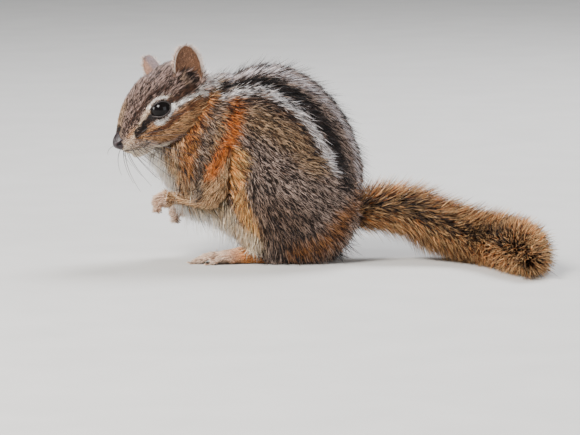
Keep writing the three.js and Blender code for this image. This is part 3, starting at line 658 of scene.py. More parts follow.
def open_lids(points, chosen):
    """The skin wraps over each eye as its lids, and between them it drops behind the eye."""
    local = to_head(points)
    for sign, (at, radius) in EYES_LOCAL.items():
        faces, along, up = eye_basis(sign)
        off = local - at
        reach = np.linalg.norm(off, axis=1, keepdims=True)
        size = np.hypot(off @ along / EYE_OPENING[0], off @ up / EYE_OPENING[1])
        near = chosen & (off @ faces > 0) & (size < 1.7) & (reach[:, 0] < radius + 2.5)
        lid = ramp(size, 0.95, 0.12)[:, None]
        wanted = mixed(radius - EYE_SINK, np.maximum(reach, radius + LID_RISE), lid)
        local = np.where(near[:, None], at + off / reach * wanted, local)
    return from_head(local)


def make_skin():
    """One skin over the solids: the coat's surface, and the hide a coat's depth inside it."""
    points, tris, part = gather_flesh()
    tree = BVHTree.FromPolygons(points.tolist(), tris.tolist())
    outer, quads, edges = remeshed(points, tris)
    nearest = [tree.find_nearest(p)[2] for p in outer.tolist()]
    family = np.array([FAMILY[n] for n in part])[nearest]
    count = np.bincount(edges.ravel(), minlength=len(outer)).astype(float)[:, None]

    def neighbours(values):
        """The mean of what lies next to each place."""
        total = gathered(edges[:, 0], values[edges[:, 1]], len(values))
        return (total + gathered(edges[:, 1], values[edges[:, 0]], len(values))) / count

    depth_and_ease = np.array([[COAT_DEPTH[f], SMOOTHING[f]] for f in family])
    for _ in range(BLEND_STEPS):
        depth_and_ease = 0.5 * depth_and_ease + 0.5 * neighbours(depth_and_ease)
    depth, ease = depth_and_ease[:, :1], depth_and_ease[:, 1:]
    forward = ramp(to_head(outer)[:, :1], 1, 9) * (family == "head")[:, None]
    depth = depth * (1 - SNOUT_SHALLOWER * forward)
    for step in range(RELAX_STEPS):
        strength = RELAX[step % 2]
        pull = neighbours(outer) - outer
        outer = outer + pull * strength * (ease if step > 5 else np.maximum(ease, 0.4))
    flat = np.vstack([quads[:, [0, 1, 2]], quads[:, [0, 2, 3]]])
    inner = outer.copy()
    sink = depth + SEAM_GROW * (family != "tail")[:, None]
    for _ in range(SINK_STEPS):
        inner = inner - normals_of(inner, flat) * sink / SINK_STEPS
        inner = inner + (neighbours(inner) - inner) * 0.35 * ease
    inner[:, 2] = np.maximum(inner[:, 2], 0.05)
    inner = open_lids(inner, np.isin(family, ["head", "eye"]))
    family = np.where(family == "eye", "head", family)
    return {
        "outer": outer, "inner": inner, "quads": quads, "flat": flat,
        "normal": normals_of(inner, flat), "family": family,
    }


# Markings


def path_distance(points, path):
    """How far each place is from a path of straight lengths."""
    path = np.asarray(path, float)
    best = np.full(len(points), 1e9)
    for a, b in zip(path[:-1], path[1:]):
        ab = b - a
        t = np.clip(((points - a) @ ab) / (ab @ ab), 0, 1)
        best = np.minimum(best, np.linalg.norm(points - (a + t[:, None] * ab), axis=1))
    return best


def wander(points, size, seed):
    """A smooth unevenness between -1 and 1 over places that are size apart."""
    draw = np.random.RandomState(seed)
    total = np.zeros(len(points))
    for _ in range(5):
        way = unit(draw.normal(size=3)) / size * draw.uniform(0.7, 1.6)
        total += np.sin(points @ way * 2 * np.pi + draw.uniform(0, 6.28))
    return total / 3.2


def lay_marks(points, base, marks, ragged=0.35):
    """Each mark laid over those before it, with an edge that wanders a little."""
    hair = np.repeat(base[0][None], len(points), 0)
    tip = np.repeat(base[1][None], len(points), 0)
    dark = np.full(len(points), base[2])
    uneven = wander(points, 2.6, 5) * ragged
    for path, half, soft, hair_colour, tip_colour, share in marks.values():
        off = path_distance(points, path) + uneven * min(1.0, half / 1.5)
        w = ramp(off, half + soft / 2, -soft)
        w = (w * w * (3 - 2 * w))[:, None]
        hair = mixed(hair, hair_colour, w)
        tip = mixed(tip, tip_colour, w)
        dark = mixed(dark, share, w[:, 0])
    return hair, tip, dark


def mirrored(points):
    return points * [1, 0, 1] + np.abs(points) * [0, 1, 0]


def tail_share(points):
    """The nearest ring of the tail's path, and the angle round it from the top."""
    ring = np.empty(len(points), int)
    for start in range(0, len(points), BLOCK):
        off = points[start : start + BLOCK, None] - TAIL_ROWS[None, :, :3]
        ring[start : start + BLOCK] = np.linalg.norm(off, axis=2).argmin(1)
    across, lift = ways_across(TAIL_ALONG[ring])
    off = points - TAIL_ROWS[ring, :3]
    return ring, np.arctan2(np.einsum("ij,ij->i", off, across), np.einsum("ij,ij->i", off, lift))


def tail_marks(points):
    """A dark line along the side, orange beside it, and buff hair tips."""
    ring, angle = tail_share(points)
    middle = np.radians(np.interp(ring / TAIL_RINGS, *TAIL_LINE_AT))
    off = np.abs(np.angle(np.exp(1j * (angle - middle))))
    line = np.exp(-((off / 0.42) ** 2))[:, None]
    beside = np.exp(-(((off - 0.95) / 0.45) ** 2))[:, None]
    hair = mixed(mixed(TAIL_TAWNY, TAIL_ORANGE, beside), TAIL_LINE, line)
    return hair, mixed(TAIL_TIP, TAIL_LINE_TIP, 0.7 * line), 0.22 + 0.50 * line[:, 0]


def ear_frame(side):
    """An ear's foot, the way it rises, its height, and the ways it faces and leads forward."""
    base, tip, faces = (np.array(v, float) * [1, side, 1] for v in EARS[side])
    rise = unit(tip - base)
    way = unit(faces - rise * (faces @ rise))
    return base, rise, np.linalg.norm(tip - base), unit(faces), np.cross(way, rise) * side


def ear_place(local, side):
    """How far up the ear a place is, from 0 to 1, in front of its middle line, and inside its edge."""
    base, rise, tall, _, across = ear_frame(side)
    share = (local - base) @ rise / tall
    wide = (local - base) @ across
    return share, wide, np.interp(share, *EAR_HALF) - np.abs(wide)


def ear_marks(local, side, normal):
    """A brown cup with painted shade in its canal, and a pale rim; the back tawny, grey and white from the
    front.
    """
    share, wide, edge = ear_place(local, side)
    in_cup = (normal @ ear_frame(side)[3] > 0.1)[:, None]
    canal = path_distance(np.stack([share * EAR_TALL, wide, wide * 0], 1), EAR_CANAL)
    # Painted shade: the cup and its hair tips darken towards near-black over the canal.
    deep = ramp(canal, 1.7, -1.0)[:, None]
    cup = mixed(mixed(EAR_CUP, EAR_FOOT, ramp(share, 0.45, -0.2)[:, None]), EAR_CANAL_SHADE, deep)
    back = mixed(EAR_BACK, EAR_REAR, ramp(wide, -1.2, -1.0)[:, None])
    back = mixed(back, EAR_FRONT, ramp(wide, 2.3, 1.0)[:, None])
    rim = in_cup * (ramp(edge, 0.55, -0.35) * ramp(share, 0.4, 0.2))[:, None]
    hair = mixed(np.where(in_cup, cup, back), EAR_RIM, rim)
    tip = hair * 0.55 + EAR_TIP * 0.45 * (1 - 0.8 * deep)
    return hair, tip, np.where(in_cup[:, 0], 0.45, 0.12) * (1 - rim[:, 0])


def foot_marks(points):
    """Tawny over the instep, and pale pinkish toes."""
    left = points[:, 1] < 0
    back = np.where(left, FOOT_BACK["left"], FOOT_BACK["right"])
    reach = np.hypot(points[:, 0] - HEEL[0] - back, points[:, 1] * np.where(left, -1.0, 1.0) - HEEL[1])
    reach = np.where(points[:, 2] > 12, 21.0, reach)  # the forepaws are as pale as the toes
    far = ramp(reach, 15, 7)
    hair, tip = (mixed(INSTEP[k], TOE[k], far[:, None]) for k in (0, 1))
    return hair, tip, mixed(INSTEP[2], TOE[2], far)


def skin_markings(points, family, normal):
    """The colour of the hair, of its tip and the share of dark hairs at each place."""
    local, facing = to_head(points), normal @ HEAD_AXES
    arm_marks = {name: BODY_MARKS[name] for name in ARM_MARKS}
    rules = [
        (["neck", "torso", "hind_leg"], 0, lambda c: lay_marks(mirrored(points[c]), BODY_BASE, BODY_MARKS)),
        (["head"], 0, lambda c: lay_marks(mirrored(local[c]), HEAD_BASE, HEAD_MARKS, 0.22)),
        (["foreleg"], 0, lambda c: lay_marks(mirrored(points[c]), LIMB_BASE, arm_marks)),
        (["forepaw", "hind_foot"], 0, lambda c: foot_marks(points[c])),
        (["tail"], 0, lambda c: tail_marks(points[c])),
        (["ear"], 1, lambda c: ear_marks(local[c], 1, facing[c])),
        (["ear"], -1, lambda c: ear_marks(local[c], -1, facing[c])),
    ]
    hair, tip, dark = np.zeros_like(points), np.zeros_like(points), np.zeros(len(points))
    for families, side, rule in rules:
        chosen = np.isin(family, families) & (local[:, 1] * side >= 0)
        if chosen.any():
            hair[chosen], tip[chosen], dark[chosen] = rule(chosen)
    return hair, tip, dark


# Lie of the coat


def from_guides(points, guides, power=3):
    """The way that the nearest guides point."""
    guides = np.asarray(guides, float)
    out = np.zeros_like(points)
    for start in range(0, len(points), BLOCK):
        block = points[start : start + BLOCK]
        d = np.linalg.norm(block[:, None] - guides[None, :, :3], axis=2)
        w = 1 / (d + 0.6) ** power
        out[start : start + BLOCK] = (w[:, :, None] * unit(guides[None, :, 3:])).sum(1) / w.sum(1)[:, None]
    return out


def outward_guides(points, guides):
    """Guides are given for one side, and the other side mirrors them."""
    side = np.where(points[:, 1:2] < 0, -1.0, 1.0)
    flow = from_guides(mirrored(points), guides)
    return flow * np.hstack([np.ones_like(side), side, np.ones_like(side)])


def trunk_guides():
    """The hair runs from neck to rump round the hunched back, and down a little on the flanks."""
    rows = np.array(TRUNK)
    guides = []
    for i in range(len(rows)):
        a, b = rows[max(i - 1, 0)], rows[min(i + 1, len(rows) - 1)]
        for share, out, drop in TRUNK_GUIDES:
            here = mixed(rows[i, [0, 1]], rows[i, [2, 3]], share)
            step = unit(mixed(b[[0, 1]] - a[[0, 1]], b[[2, 3]] - a[[2, 3]], share))
            guides.append((here[0], rows[i, 4] * out, here[1], step[0], 0.0, step[1] + drop))
    return guides


def ear_lie(local):
    """The hair runs up the ear, and leans out over its edge."""
    lie = np.zeros_like(local)
    for side in (1, -1):
        own = np.sign(local[:, 1]) == side
        _, wide, edge = ear_place(local[own], side)
        lean = ramp(edge, 1.2, -0.8) * np.sign(wide) * 0.7
        lie[own] = ear_frame(side)[1] + lean[:, None] * np.array([0.86, -0.34 * side, 0.38])
    return unit(lie)


def lie_of(points, family, normal):
    """The way the coat lies at each place."""
    way = np.tile([1.0, 0, 0], (len(points), 1))
    for families, guides in (
        (["neck", "torso"], trunk_guides()),
        (["hind_leg"], HAUNCH_LIE + trunk_guides()[10:40:5]),
        (["foreleg"], FORELEG_LIE),
    ):
        chosen = np.isin(family, families)
        way[chosen] = outward_guides(points[chosen], guides)
    below = np.isin(family, TRUNK_FAMILIES) * np.clip(-normal[:, 2] - 0.15, 0, 0.6)
    way += below[:, None] * HANG
    chosen = family == "head"
    way[chosen] = outward_guides(to_head(points[chosen]), HEAD_LIE) @ HEAD_AXES.T
    chosen = family == "ear"
    way[chosen] = ear_lie(to_head(points[chosen])) @ HEAD_AXES.T
    for part, lie in PAW_LIE.items():
        way[family == part] = unit(np.array(lie))
    chosen = family == "tail"
    way[chosen] = TAIL_ALONG[tail_share(points[chosen])[0]]
    return way


# Coat


def sample_tufts(skin):
    """Roots spread over the hide, each with its place on the coat's surface, normal and family."""
    a, b, c = (skin["inner"][skin["flat"][:, k]] for k in range(3))
    area = np.linalg.norm(np.cross(b - a, c - a), axis=1) / 2
    family = skin["family"][skin["flat"][:, 0]]
    wanted = area * np.array([TUFTS[f][0] for f in family])
    wanted *= np.where((family == "tail") & (a[:, 1] < TAIL_END), TAIL_END_CROWDING, 1)
    whole = wanted.astype(int) + (random.uniform(size=len(area)) < wanted % 1)
    face = np.repeat(np.arange(len(area)), whole)
    u, v = random.uniform(size=(2, len(face), 1))
    flip = u + v > 1
    u, v = np.where(flip, 1 - u, u), np.where(flip, 1 - v, v)

    def at(values):
        p, q, r = (values[skin["flat"][face, k]] for k in range(3))
        return p + u * (q - p) + v * (r - p)

    normal = unit(at(skin["normal"]))
    return {"root": at(skin["inner"]), "outer": at(skin["outer"]), "normal": normal, "family": family[face]}


def leave_bare(t):
    """No tuft grows on the eyes, the nose leather or the line of the mouth."""
    local = to_head(t["outer"])
    clear, away = eye_clearance(local)
    on_nose = inside(local, NOSE_AT, NOSE_HALF - NOSE_OVERHANG)
    on_mouth = (path_distance(local[:, [0, 2]], MOUTH) < MOUTH_BARE) & (local[:, 0] > MOUTH[-1][0] - 0.5)
    keep = (t["family"] != "head") | ~((clear < 1.0) | on_nose | on_mouth)
    return {name: values[keep] for name, values in {**t, "clear": clear, "away": away}.items()}


def comb(t):
    """The way each tuft lies on the hide: turned off the eyes, and never quite even."""
    way = lie_of(t["outer"], t["family"], t["normal"])
    away = t["away"] @ HEAD_AXES.T
    short = np.maximum(0.25 - np.einsum("ij,ij->i", way, away), 0)
    turn = np.where(t["by_eye"], short * ramp(t["clear"], EYE_NEAR, -0.8), 0)
    way = way + turn[:, None] * away
    waves = np.stack([wander(t["root"], 7, k) for k in (1, 2, 3)], 1)
    way = way + random.normal(size=way.shape) * UNEVEN + waves * WAVY
    n = t["normal"]
    return unit(way - n * np.einsum("ij,ij->i", way, n)[:, None])


def tuft_sizes(t):
    """Length, width and slant: long on the nape and under the belly, short on the snout and by the eyes."""
    count = len(t["root"])
    size = np.array([TUFTS[f][1:] for f in t["family"]])
    length = size[:, 0] * random.uniform(*LENGTH_RANGE, count)
    width = size[:, 1] * random.uniform(*WIDTH_RANGE, count)
    slant = np.radians(size[:, 2]) * random.uniform(*SLANT_RANGE, count)
    head = t["family"] == "head"
    along = to_head(t["outer"][head])[:, 0]
    forward, behind = ramp(along, -2, 14), ramp(along, -5, -8)
    length[head] *= 1.4 - 0.95 * forward + 0.7 * behind
    slant[head] *= 1 + 0.25 * behind
    width[head] *= 1.15 - 0.35 * forward
    below = np.isin(t["family"], TRUNK_FAMILIES) * np.clip(-t["normal"][:, 2] - 0.1, 0, 0.5) * 2
    length *= 1 + 0.55 * below
    slant *= 1 + 0.3 * below
    tail = t["family"] == "tail"
    ring, _ = tail_share(t["root"][tail])
    length[tail] *= np.interp(ring / TAIL_RINGS, *TAIL_LENGTH)
    slant[tail] *= np.interp(ring / TAIL_RINGS, *TAIL_SLANT)
    facing = np.einsum("ij,ij->i", t["normal"][tail], TAIL_ALONG[ring])
    slant[tail] += (TAIL_TIP_SLANT - slant[tail]) * ramp(facing, 0.35, 0.4)
    ear = np.flatnonzero(t["family"] == "ear")
    local = to_head(t["root"][ear])
    for side in (1, -1):
        share, wide, edge = ear_place(local, side)
        fringe = ear[(np.sign(local[:, 1]) == side) & (edge < 0.6) & ((share > 0.5) | (wide < 0))]
        length[fringe] *= random.uniform(*FRINGE_RANGE, len(fringe))
        width[fringe] *= 0.6
    length = np.where(t["by_eye"], length * np.clip((t["clear"] - 0.7) / 1.5, 0.35, 1), length)
    width = np.where(t["by_eye"], width * 0.8, width)
    return length, width, slant


def tuft_colours(t):
    """Each tuft's colour at its root, middle and tip, the brightness of its hair, and if it is pale."""
    head, tail = t["family"] == "head", t["family"] == "tail"
    count = len(head)
    stray = np.where(head, 0.33, 1.0) * np.where(np.isin(t["family"], NEAT_FAMILIES), 0.3, 1.0) * STRAY
    shown = t["outer"] + t["way"] * (t["length"] * 0.45)[:, None]
    shown = shown + random.normal(size=shown.shape) * stray[:, None]
    hair, tip, dark = skin_markings(shown, t["family"], t["normal"])
    bright = hair.mean(1, keepdims=True)
    draw = random.uniform(size=count)
    is_dark = (draw < dark * 0.8)[:, None]
    is_pale = (draw > 0.64 - 0.24 * np.clip(bright[:, 0] * 2, 0, 1))[:, None]
    unevenness = np.where(head, 0.20, 0.16)
    shade = np.exp(random.normal(size=count) * unevenness + wander(t["root"], 5, 9) * 0.07)[:, None]
    middle = np.where(is_dark, hair * 0.25, np.where(is_pale, mixed(hair, tip, 0.5), hair)) * shade
    end = np.where(is_dark, hair * 0.16, np.where(is_pale, tip * 1.1, mixed(hair, tip, 0.4))) * shade
    # The root is darker than the hair: partly the grey of the underfur, partly painted shade deep in the
    # coat.
    base = hair * (0.22 + 0.45 * bright) * shade
    banded = random.uniform(size=count)[:, None]
    middle[tail] = np.where(banded[tail] < 0.40, TAIL_LINE, middle[tail])
    end[tail] = np.where(banded[tail] < 0.14, TAIL_BAND_TIP, end[tail])
    # The tail's roots are darker too: partly underfur, partly painted shade.
    base[tail] = hair[tail] * 0.5
    return base, middle, end, bright, is_pale


def make_tufts(skin):
    """Every tuft of the coat. A few are guard hairs: longer, thinner, and mostly dark."""
    t = leave_bare(sample_tufts(skin))
    t["by_eye"] = (t["family"] == "head") & (t["clear"] < EYE_NEAR)
    t["way"] = comb(t)
    t["length"], t["width"], t["slant"] = tuft_sizes(t)
    t["base"], t["middle"], t["end"], bright, is_pale = tuft_colours(t)
    guard = np.isin(t["family"], TRUNK_FAMILIES) & (random.uniform(size=len(bright)) < GUARD_SHARE)
    for size, factor in (("length", 1.5), ("width", 0.5), ("slant", 1.6)):
        t[size][guard] *= factor
    light = bright[guard] > 0.45
    t["end"][guard] = np.where(is_pale[guard] | light, t["end"][guard], BLACK)
    t["middle"][guard] = np.where(light, t["middle"][guard], BLACK)
    return t


def tuft_points(t):
    """Each tuft: a corner at the root, three round its middle and one at its tip."""
    way, normal = t["way"], t["normal"]
    side = unit(np.cross(way, normal))
    long, wide = t["length"][:, None], t["width"][:, None]
    rise, run = np.sin(t["slant"])[:, None], np.cos(t["slant"])[:, None]
    bend = random.normal(size=long.shape) * 0.10 * long
    root = t["root"] - normal * 0.2
    middle = root + way * long * 0.42 * run + normal * long * rise * 0.56 + side * bend * 0.3
    tip = root + way * long * run + normal * long * rise + side * bend
    ring = [middle + side * wide / 2, middle - side * wide / 2, middle + normal * wide * 0.4]
    points = np.stack([root] + ring + [tip], 1)
    points[:, :, 2] = np.maximum(points[:, :, 2], 0.04)
    return points


def unwrap(group, t):
    """Where each root lies on an unwrap of the skin, from 0 to 1 each way."""
    p = t["outer"]
    if group == "tail":
        ring, angle = tail_share(t["root"])
        uv = np.stack([angle / (2 * np.pi) + 0.5, ring / TAIL_RINGS], 1)
    else:
        is_ear = group.startswith("ear")
        centre = p.mean(0) - t["normal"].mean(0) * is_ear
        off = unit(p - centre)
        round_about = np.arctan2(off[:, 1], off[:, 0]) / (2 * np.pi) + 0.5
        uv = np.stack([round_about, np.arccos(np.clip(off[:, 2], -1, 1)) / np.pi], 1)
        if is_ear:
            cup = t["normal"] @ unit(np.array([-0.5, -0.8, 0.2])) > 0
            uv[:, 0] = uv[:, 0] * 0.5 + np.where(cup, 0.5, 0)
    return uv * (1 - 2 * TUFT_PATCH) + TUFT_PATCH


# Materials


def grained(name, rough, gloss, grain_scale, bump, bump_deep):
    """A material with a fine grain on it, its node tree, its shader and the grain."""
    material = bpy.data.materials.new(name)
    material.use_nodes = True
    nodes, links = material.node_tree.nodes, material.node_tree.links
    shader = nodes["Principled BSDF"]
    shader.inputs["Roughness"].default_value = rough
    shader.inputs["Specular IOR Level"].default_value = gloss
    place = nodes.new("ShaderNodeTexCoord")
    noise = nodes.new("ShaderNodeTexNoise")
    noise.inputs["Scale"].default_value = grain_scale
    links.new(place.outputs["Object"], noise.inputs["Vector"])
    if bump:
        raised = nodes.new("ShaderNodeBump")
        raised.inputs["Strength"].default_value = bump
        raised.inputs["Distance"].default_value = bump_deep
        links.new(noise.outputs["Fac"], raised.inputs["Height"])
        links.new(raised.outputs["Normal"], shader.inputs["Normal"])
    return material, nodes, links, shader, noise


def coat_material(name, rough, bump=0.0):
    """The colour laid on the mesh, with a grain over it."""
    material, nodes, links, shader, noise = grained(name, rough, COAT_GLOSS, COAT_GRAIN_SCALE, bump, 0.0003)
    noise.inputs["Detail"].default_value = 3
    paint = nodes.new("ShaderNodeAttribute")
    paint.attribute_name = "coat"
    spread = nodes.new("ShaderNodeMapRange")
    spread.inputs["To Min"].default_value, spread.inputs["To Max"].default_value = COAT_GRAIN
    links.new(noise.outputs["Fac"], spread.inputs["Value"])
    mix = nodes.new("ShaderNodeVectorMath")
    mix.operation = "MULTIPLY"
    links.new(paint.outputs["Color"], mix.inputs[0])
    links.new(spread.outputs["Result"], mix.inputs[1])
    links.new(mix.outputs["Vector"], shader.inputs["Base Color"])
    return material


def plain_material(name, tint, rough, grain_scale=1500, grain=0.25, bump=0.3, gloss=0.5):
    """One colour, lighter and darker with its grain."""
    material, nodes, links, shader, noise = grained(name, rough, gloss, grain_scale, bump, 0.0002)
    ramp_node = nodes.new("ShaderNodeValToRGB")
    for stop, at, share in zip(ramp_node.color_ramp.elements, (0.3, 0.7), (1 - grain, 1 + grain)):
        stop.position = at
        stop.color = (*np.minimum(np.array(tint) * share, 1), 1)
    links.new(noise.outputs["Fac"], ramp_node.inputs["Fac"])
    links.new(ramp_node.outputs["Color"], shader.inputs["Base Color"])
    return material


# Pieces


def placed(piece, material, nodes=()):
    piece.data.materials.append(material)
    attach(piece, "root")
    if nodes:
        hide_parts(*nodes)
    return piece


def coat_groups(t):
    """The name of each piece of the coat, and which tufts it holds."""
    for name, families, by_side in COAT_GROUPS:
        own = np.isin(t["family"], families)
        if by_side:
            left = to_head(t["root"])[:, 1] > 0 if name == "ear" else t["root"][:, 1] < 0
            yield f"{name}_left", own & left
            yield f"{name}_right", own & ~left
        else:
            yield name, own


def make_coat(t):
    material = coat_material("fur", 0.62)
    points = tuft_points(t)
    tints = np.clip(np.stack([t["base"]] + [t["middle"]] * 3 + [t["end"]], 1), 0, 1)
    for group, rule in coat_groups(t):
        chosen = np.flatnonzero(rule)
        uv = unwrap(group, {name: values[chosen] for name, values in t.items()})
        pieces = -(-len(chosen) // TUFTS_PER_PIECE)
        for number in range(pieces):
            part = np.arange(number, len(chosen), pieces)
            faces = (TUFT_FACES[None] + np.arange(len(part))[:, None, None] * 5).reshape(-1, 3)
            own = chosen[part]
            name = f"coat_{group}_{number}"
            piece = build_mesh(name, points[own].reshape(-1, 3), faces, tints[own].reshape(-1, 3))
            layer = piece.data.uv_layers.new(name="OFBake")
            at = (uv[part][:, None] + TUFT_PATCH_AT[None]).reshape(-1, 2)[faces.ravel()]
            layer.uv.foreach_set("vector", at.astype(np.float32).ravel())
            placed(piece, material)


def lid_loop(side, at, radius):
    """The rim of the lids on the eye: an oval drawn out to a point at its front corner."""
    faces, along, up = eye_basis(side)
    t = np.linspace(0, 2 * np.pi, 72, endpoint=False)
    front = np.clip(np.cos(t), 0, 1)
    x = EYE_OPENING[0] * np.cos(t) + EYE_CORNER[0] * front**6
    y = EYE_OPENING[1] * np.sin(t) - EYE_CORNER[1] * front**4
    deep = np.sqrt(np.maximum((radius + 0.05) ** 2 - x**2 - y**2, 0.05))
    return at + x[:, None] * along + y[:, None] * up + deep[:, None] * faces, faces


def make_eyes():
    dark = plain_material("eye", (0.004, 0.003, 0.003), 0.04, 300, 0.5, 0.0, gloss=0.16)
    rim = plain_material("lid", (0.022, 0.014, 0.012), 0.5, 2500, 0.4, 0.4)
    for side, (at, radius) in EYES.items():
        placed(build_mesh(f"eyeball_{side}", *sphere(at, radius)), dark, [f"eye_{side}"])
        sign = -SIDES[side]
        loop, faces = lid_loop(sign, *EYES_LOCAL[sign])
        p, t = closed_tube(loop, LID_THICK, faces, flat=0.9)
        placed(build_mesh(f"lid_{side}", from_head(p), t), rim)


def make_nose():
    """Leather drawn in to a ridge above, with a comma of a nostril on each side and a groove below; painted
    shade darkens the nostrils and the groove, and a painted highlight lightens the raised wings round the
    nostrils.
    """
    p, t = sphere(np.zeros(3), 1.0, 48, 64)
    deep, wing = np.zeros(len(p)), np.zeros(len(p))
    for side in (1, -1):
        for (x, y, z), wide, far in NOSTRIL:
            off = np.linalg.norm((p - [x, y * side, z]) * [0.8, 1.0, 1.25], axis=1)
            deep = np.maximum(deep, far * np.exp(-((off / wide) ** 4)))
            wing = np.maximum(wing, far * np.exp(-(((off - wide - 0.14) / 0.12) ** 2)))
    wing *= 1 - deep
    groove = np.exp(-((p[:, 1] / 0.09) ** 2)) * np.clip(-p[:, 2] + 0.2, 0, 1) * 0.10
    n = p * (1 + wing * 0.05 - deep * 0.34 - groove)[:, None]
    down, up = np.clip(-n[:, 2], 0, 1), np.clip(n[:, 2], 0, 1)
    n[:, 1] *= 1 - 0.30 * down - 0.40 * up
    n[:, 0] -= 0.25 * down**2 + 0.45 * up**1.5
    # Painted shade: the nostrils' dents and the groove below darken towards near-black.
    dark = np.maximum(deep, groove * 6)[:, None]
    # Painted highlight: the raised wings round the nostrils are up to twice as bright as the leather.
    tint = mixed(NOSE_LEATHER * (1 + wing[:, None]), NOSTRIL_SHADE, dark)
    points = from_head(n * NOSE_HALF + NOSE_AT)
    placed(build_mesh("nose", points, t, np.clip(tint, 0, 1)), coat_material("nose", 0.38, 0.9))


def make_mouth(skin):
    """A dark line lies in the join of the lips, from the nose back to the corner of the mouth, as painted
    shade in the crease.
    """
    tree = BVHTree.FromPolygons(skin["inner"].tolist(), skin["quads"].tolist())
    parts = []
    for side in (1, -1):
        inward = HEAD_AXES @ np.array([0, -side, 0.0])
        points = []
        for x, z in smooth_rows(MOUTH, 24):
            hit = tree.ray_cast(from_head([x, 14 * side, z]).tolist(), inward.tolist())[0]
            if hit is not None:
                points.append(np.array(hit) - 0.02 * inward)
        parts.append(tapered(points, 0.22, 0.10))
    # Painted shade: a near-black tube laid in the join of the lips.
    lips = plain_material("mouth", (0.03, 0.018, 0.018), 0.6, 2500, 0.4, 0.3)
    placed(build_mesh("mouth_join_shade", *merged(parts)), lips)


def make_whiskers():
    """Four rows of four on each side, which sweep out, back and down."""
    parts = []
    for side in (1, -1):
        for row in range(4):
            for k in range(4):
                root = np.array([11.2 - 1.1 * k, (3.2 + 0.55 * k), -4.4 - 0.75 * row + 0.15 * k])
                length = random.uniform(13, 19) * (0.8 + 0.1 * k)
                way = unit(np.array([0.42 - 0.34 * k, 0.9, 0.20 - 0.46 * row + random.normal() * 0.12]))
                s = np.linspace(0, 1, 12)[:, None]
                droop = WHISKER_DROOP * length * s**2
                path = (root - way * 0.8 + way * length * s + droop) * [1, side, 1]
                parts.append(tapered(from_head(path), *WHISKER_RADII, 5))
    bristle = plain_material("whisker", (0.06, 0.045, 0.04), 0.4, 900, 0.5, 0.0)
    placed(build_mesh("whiskers", *merged(parts)), bristle)


def turned(point, degrees, axis):
    """A place turned about the Z axis, or about the Y axis."""
    a = np.radians(degrees)
    x, y, z = point
    if axis == "Z":
        return np.array([x * np.cos(a) - y * np.sin(a), x * np.sin(a) + y * np.cos(a), z])
    return np.array([x * np.cos(a) + z * np.sin(a), y, -x * np.sin(a) + z * np.cos(a)])


def digits():
    """The last joint and tip of every toe and finger, and its thickness."""
    heel = np.array([*HEEL, 0.0])
    for side, sign in SIDES.items():
        for root_x, root_y, tip_x, tip_y, thick in TOES:
            joint = np.array([root_x + 0.45 * (tip_x - root_x), (root_y + tip_y) / 2, 2.5])
            tip = np.array([tip_x, tip_y, 1.05])
            ends = [turned(p - heel, FOOT_TURN[side], "Z") + heel for p in (joint, tip)]
            yield "toe", *[(p + [FOOT_BACK[side], 0, 0]) * [1, sign, 1] for p in ends], thick
        at, pitch = PAWS[side]
        for root_y, tip_y, reach, hang in FINGERS:
            ends = ((-reach, (root_y + tip_y) / 2, 0.1), (-reach + 0.2, tip_y, -hang))
            ends = [turned(p, -pitch, "Y") + at for p in ends]
            yield "finger", *[p * [1, sign, 1] for p in ends], FINGER_THICK


def make_claws():
    parts = []
    for kind, joint, tip, thick in digits():
        long, radius, curl = CLAWS[kind]
        out = unit(tip - joint)
        curl = np.array(curl)
        path = [tip + out * (thick * 0.6 + long * far) + curl * long * far**2 for far in (0, 0.35, 0.7, 1)]
        path = np.maximum(path, [-np.inf, -np.inf, 0.35])
        parts.append(tapered(smooth_rows(path, 8), radius, 0.06, 8))
    horn = plain_material("claw", (0.10, 0.07, 0.055), 0.35, 1200, 0.4, 0.2)
    placed(build_mesh("claws", *merged(parts)), horn)


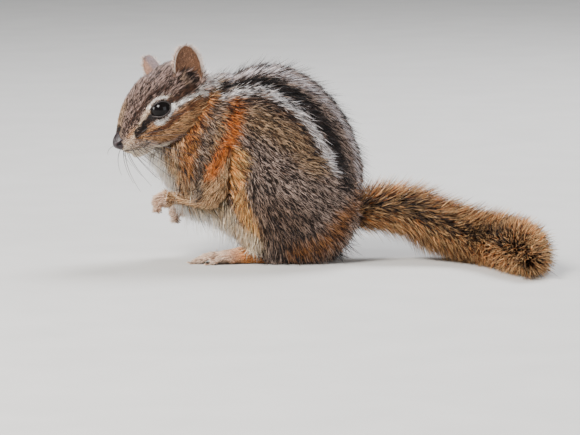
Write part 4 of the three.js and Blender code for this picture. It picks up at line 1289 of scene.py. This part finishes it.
def make_skin_piece(skin):
    """The hide under the coat, darker than the hair over it, partly as the grey of the underfur and partly
    as painted shade deep in the coat, and black at the eyes and the nose.
    """
    family = skin["family"]
    hair, _, _ = skin_markings(skin["outer"], family, skin["normal"])
    # Partly painted shade: the hide is darkened under the hair, the more so under dark hair.
    tint = hair * (0.25 + 0.45 * hair.mean(1, keepdims=True))
    bare = np.isin(family, ["forepaw", "hind_foot"])
    tint[bare] = hair[bare] * 0.6 + PINK * 0.15
    local = to_head(skin["outer"])
    by_nose = inside(local, NOSE_AT, NOSE_HALF + 0.4)
    tint[(family == "head") & (by_nose | (eye_clearance(local)[0] < 1.05))] = BLACK
    # The hide under the ears and the tail is darkened in the same way, partly as painted shade.
    for part, share in (("ear", 0.7), ("tail", 0.4)):
        tint[family == part] = hair[family == part] * share
    piece = build_mesh("skin", skin["inner"], skin["quads"], np.clip(tint, 0, 1))
    placed(piece, coat_material("hide", 0.6, 0.5), FLESH + TAIL_NODES)


# Studio


def make_studio():
    floor = bpy.data.meshes.new("floor")
    corners = [(x * FLOOR_HALF, y * FLOOR_HALF, 0) for x, y in ((-1, -1), (1, -1), (1, 1), (-1, 1))]
    floor.from_pydata(corners, [], [(0, 1, 2, 3)])
    floor = bpy.data.objects.new("floor", floor)
    bpy.context.collection.objects.link(floor)
    floor.data.materials.append(plain_material("ground", (0.60, 0.59, 0.57), 0.8, 40, 0.03, 0.1))
    world = bpy.data.worlds.new("studio")
    bpy.context.scene.world = world
    world.use_nodes = True
    backdrop = world.node_tree.nodes["Background"]
    backdrop.inputs["Color"].default_value = (0.62, 0.64, 0.66, 1)
    backdrop.inputs["Strength"].default_value = 0.40
    for name, at, size, power, tint in LAMPS:
        lamp = bpy.data.lights.new(name, "AREA")
        lamp.size, lamp.energy, lamp.color = size, power, tint
        piece = bpy.data.objects.new(name, lamp)
        piece.location = at
        aim = Vector(np.subtract(LAMP_AIM, at))
        piece.rotation_euler = aim.to_track_quat("-Z", "Y").to_euler()
        bpy.context.collection.objects.link(piece)


def make_camera():
    lens = bpy.data.cameras.new("camera")
    lens.sensor_width = SENSOR_WIDE
    lens.lens = SENSOR_WIDE * CAMERA_AWAY / PICTURE_WIDE
    lens.clip_start, lens.clip_end = 0.05, 20
    camera = bpy.data.objects.new("camera", lens)
    back = np.array([0, -np.cos(CAMERA_RISE), np.sin(CAMERA_RISE)])
    camera.location = (CAMERA_AIM + back * CAMERA_AWAY) * MM
    camera.rotation_euler = Vector(-back).to_track_quat("-Z", "Y").to_euler()
    bpy.context.collection.objects.link(camera)
    bpy.context.scene.camera = camera


skin = make_skin()
make_skin_piece(skin)
make_coat(make_tufts(skin))
make_eyes()
make_nose()
make_mouth(skin)
make_whiskers()
make_claws()
make_studio()
make_camera()
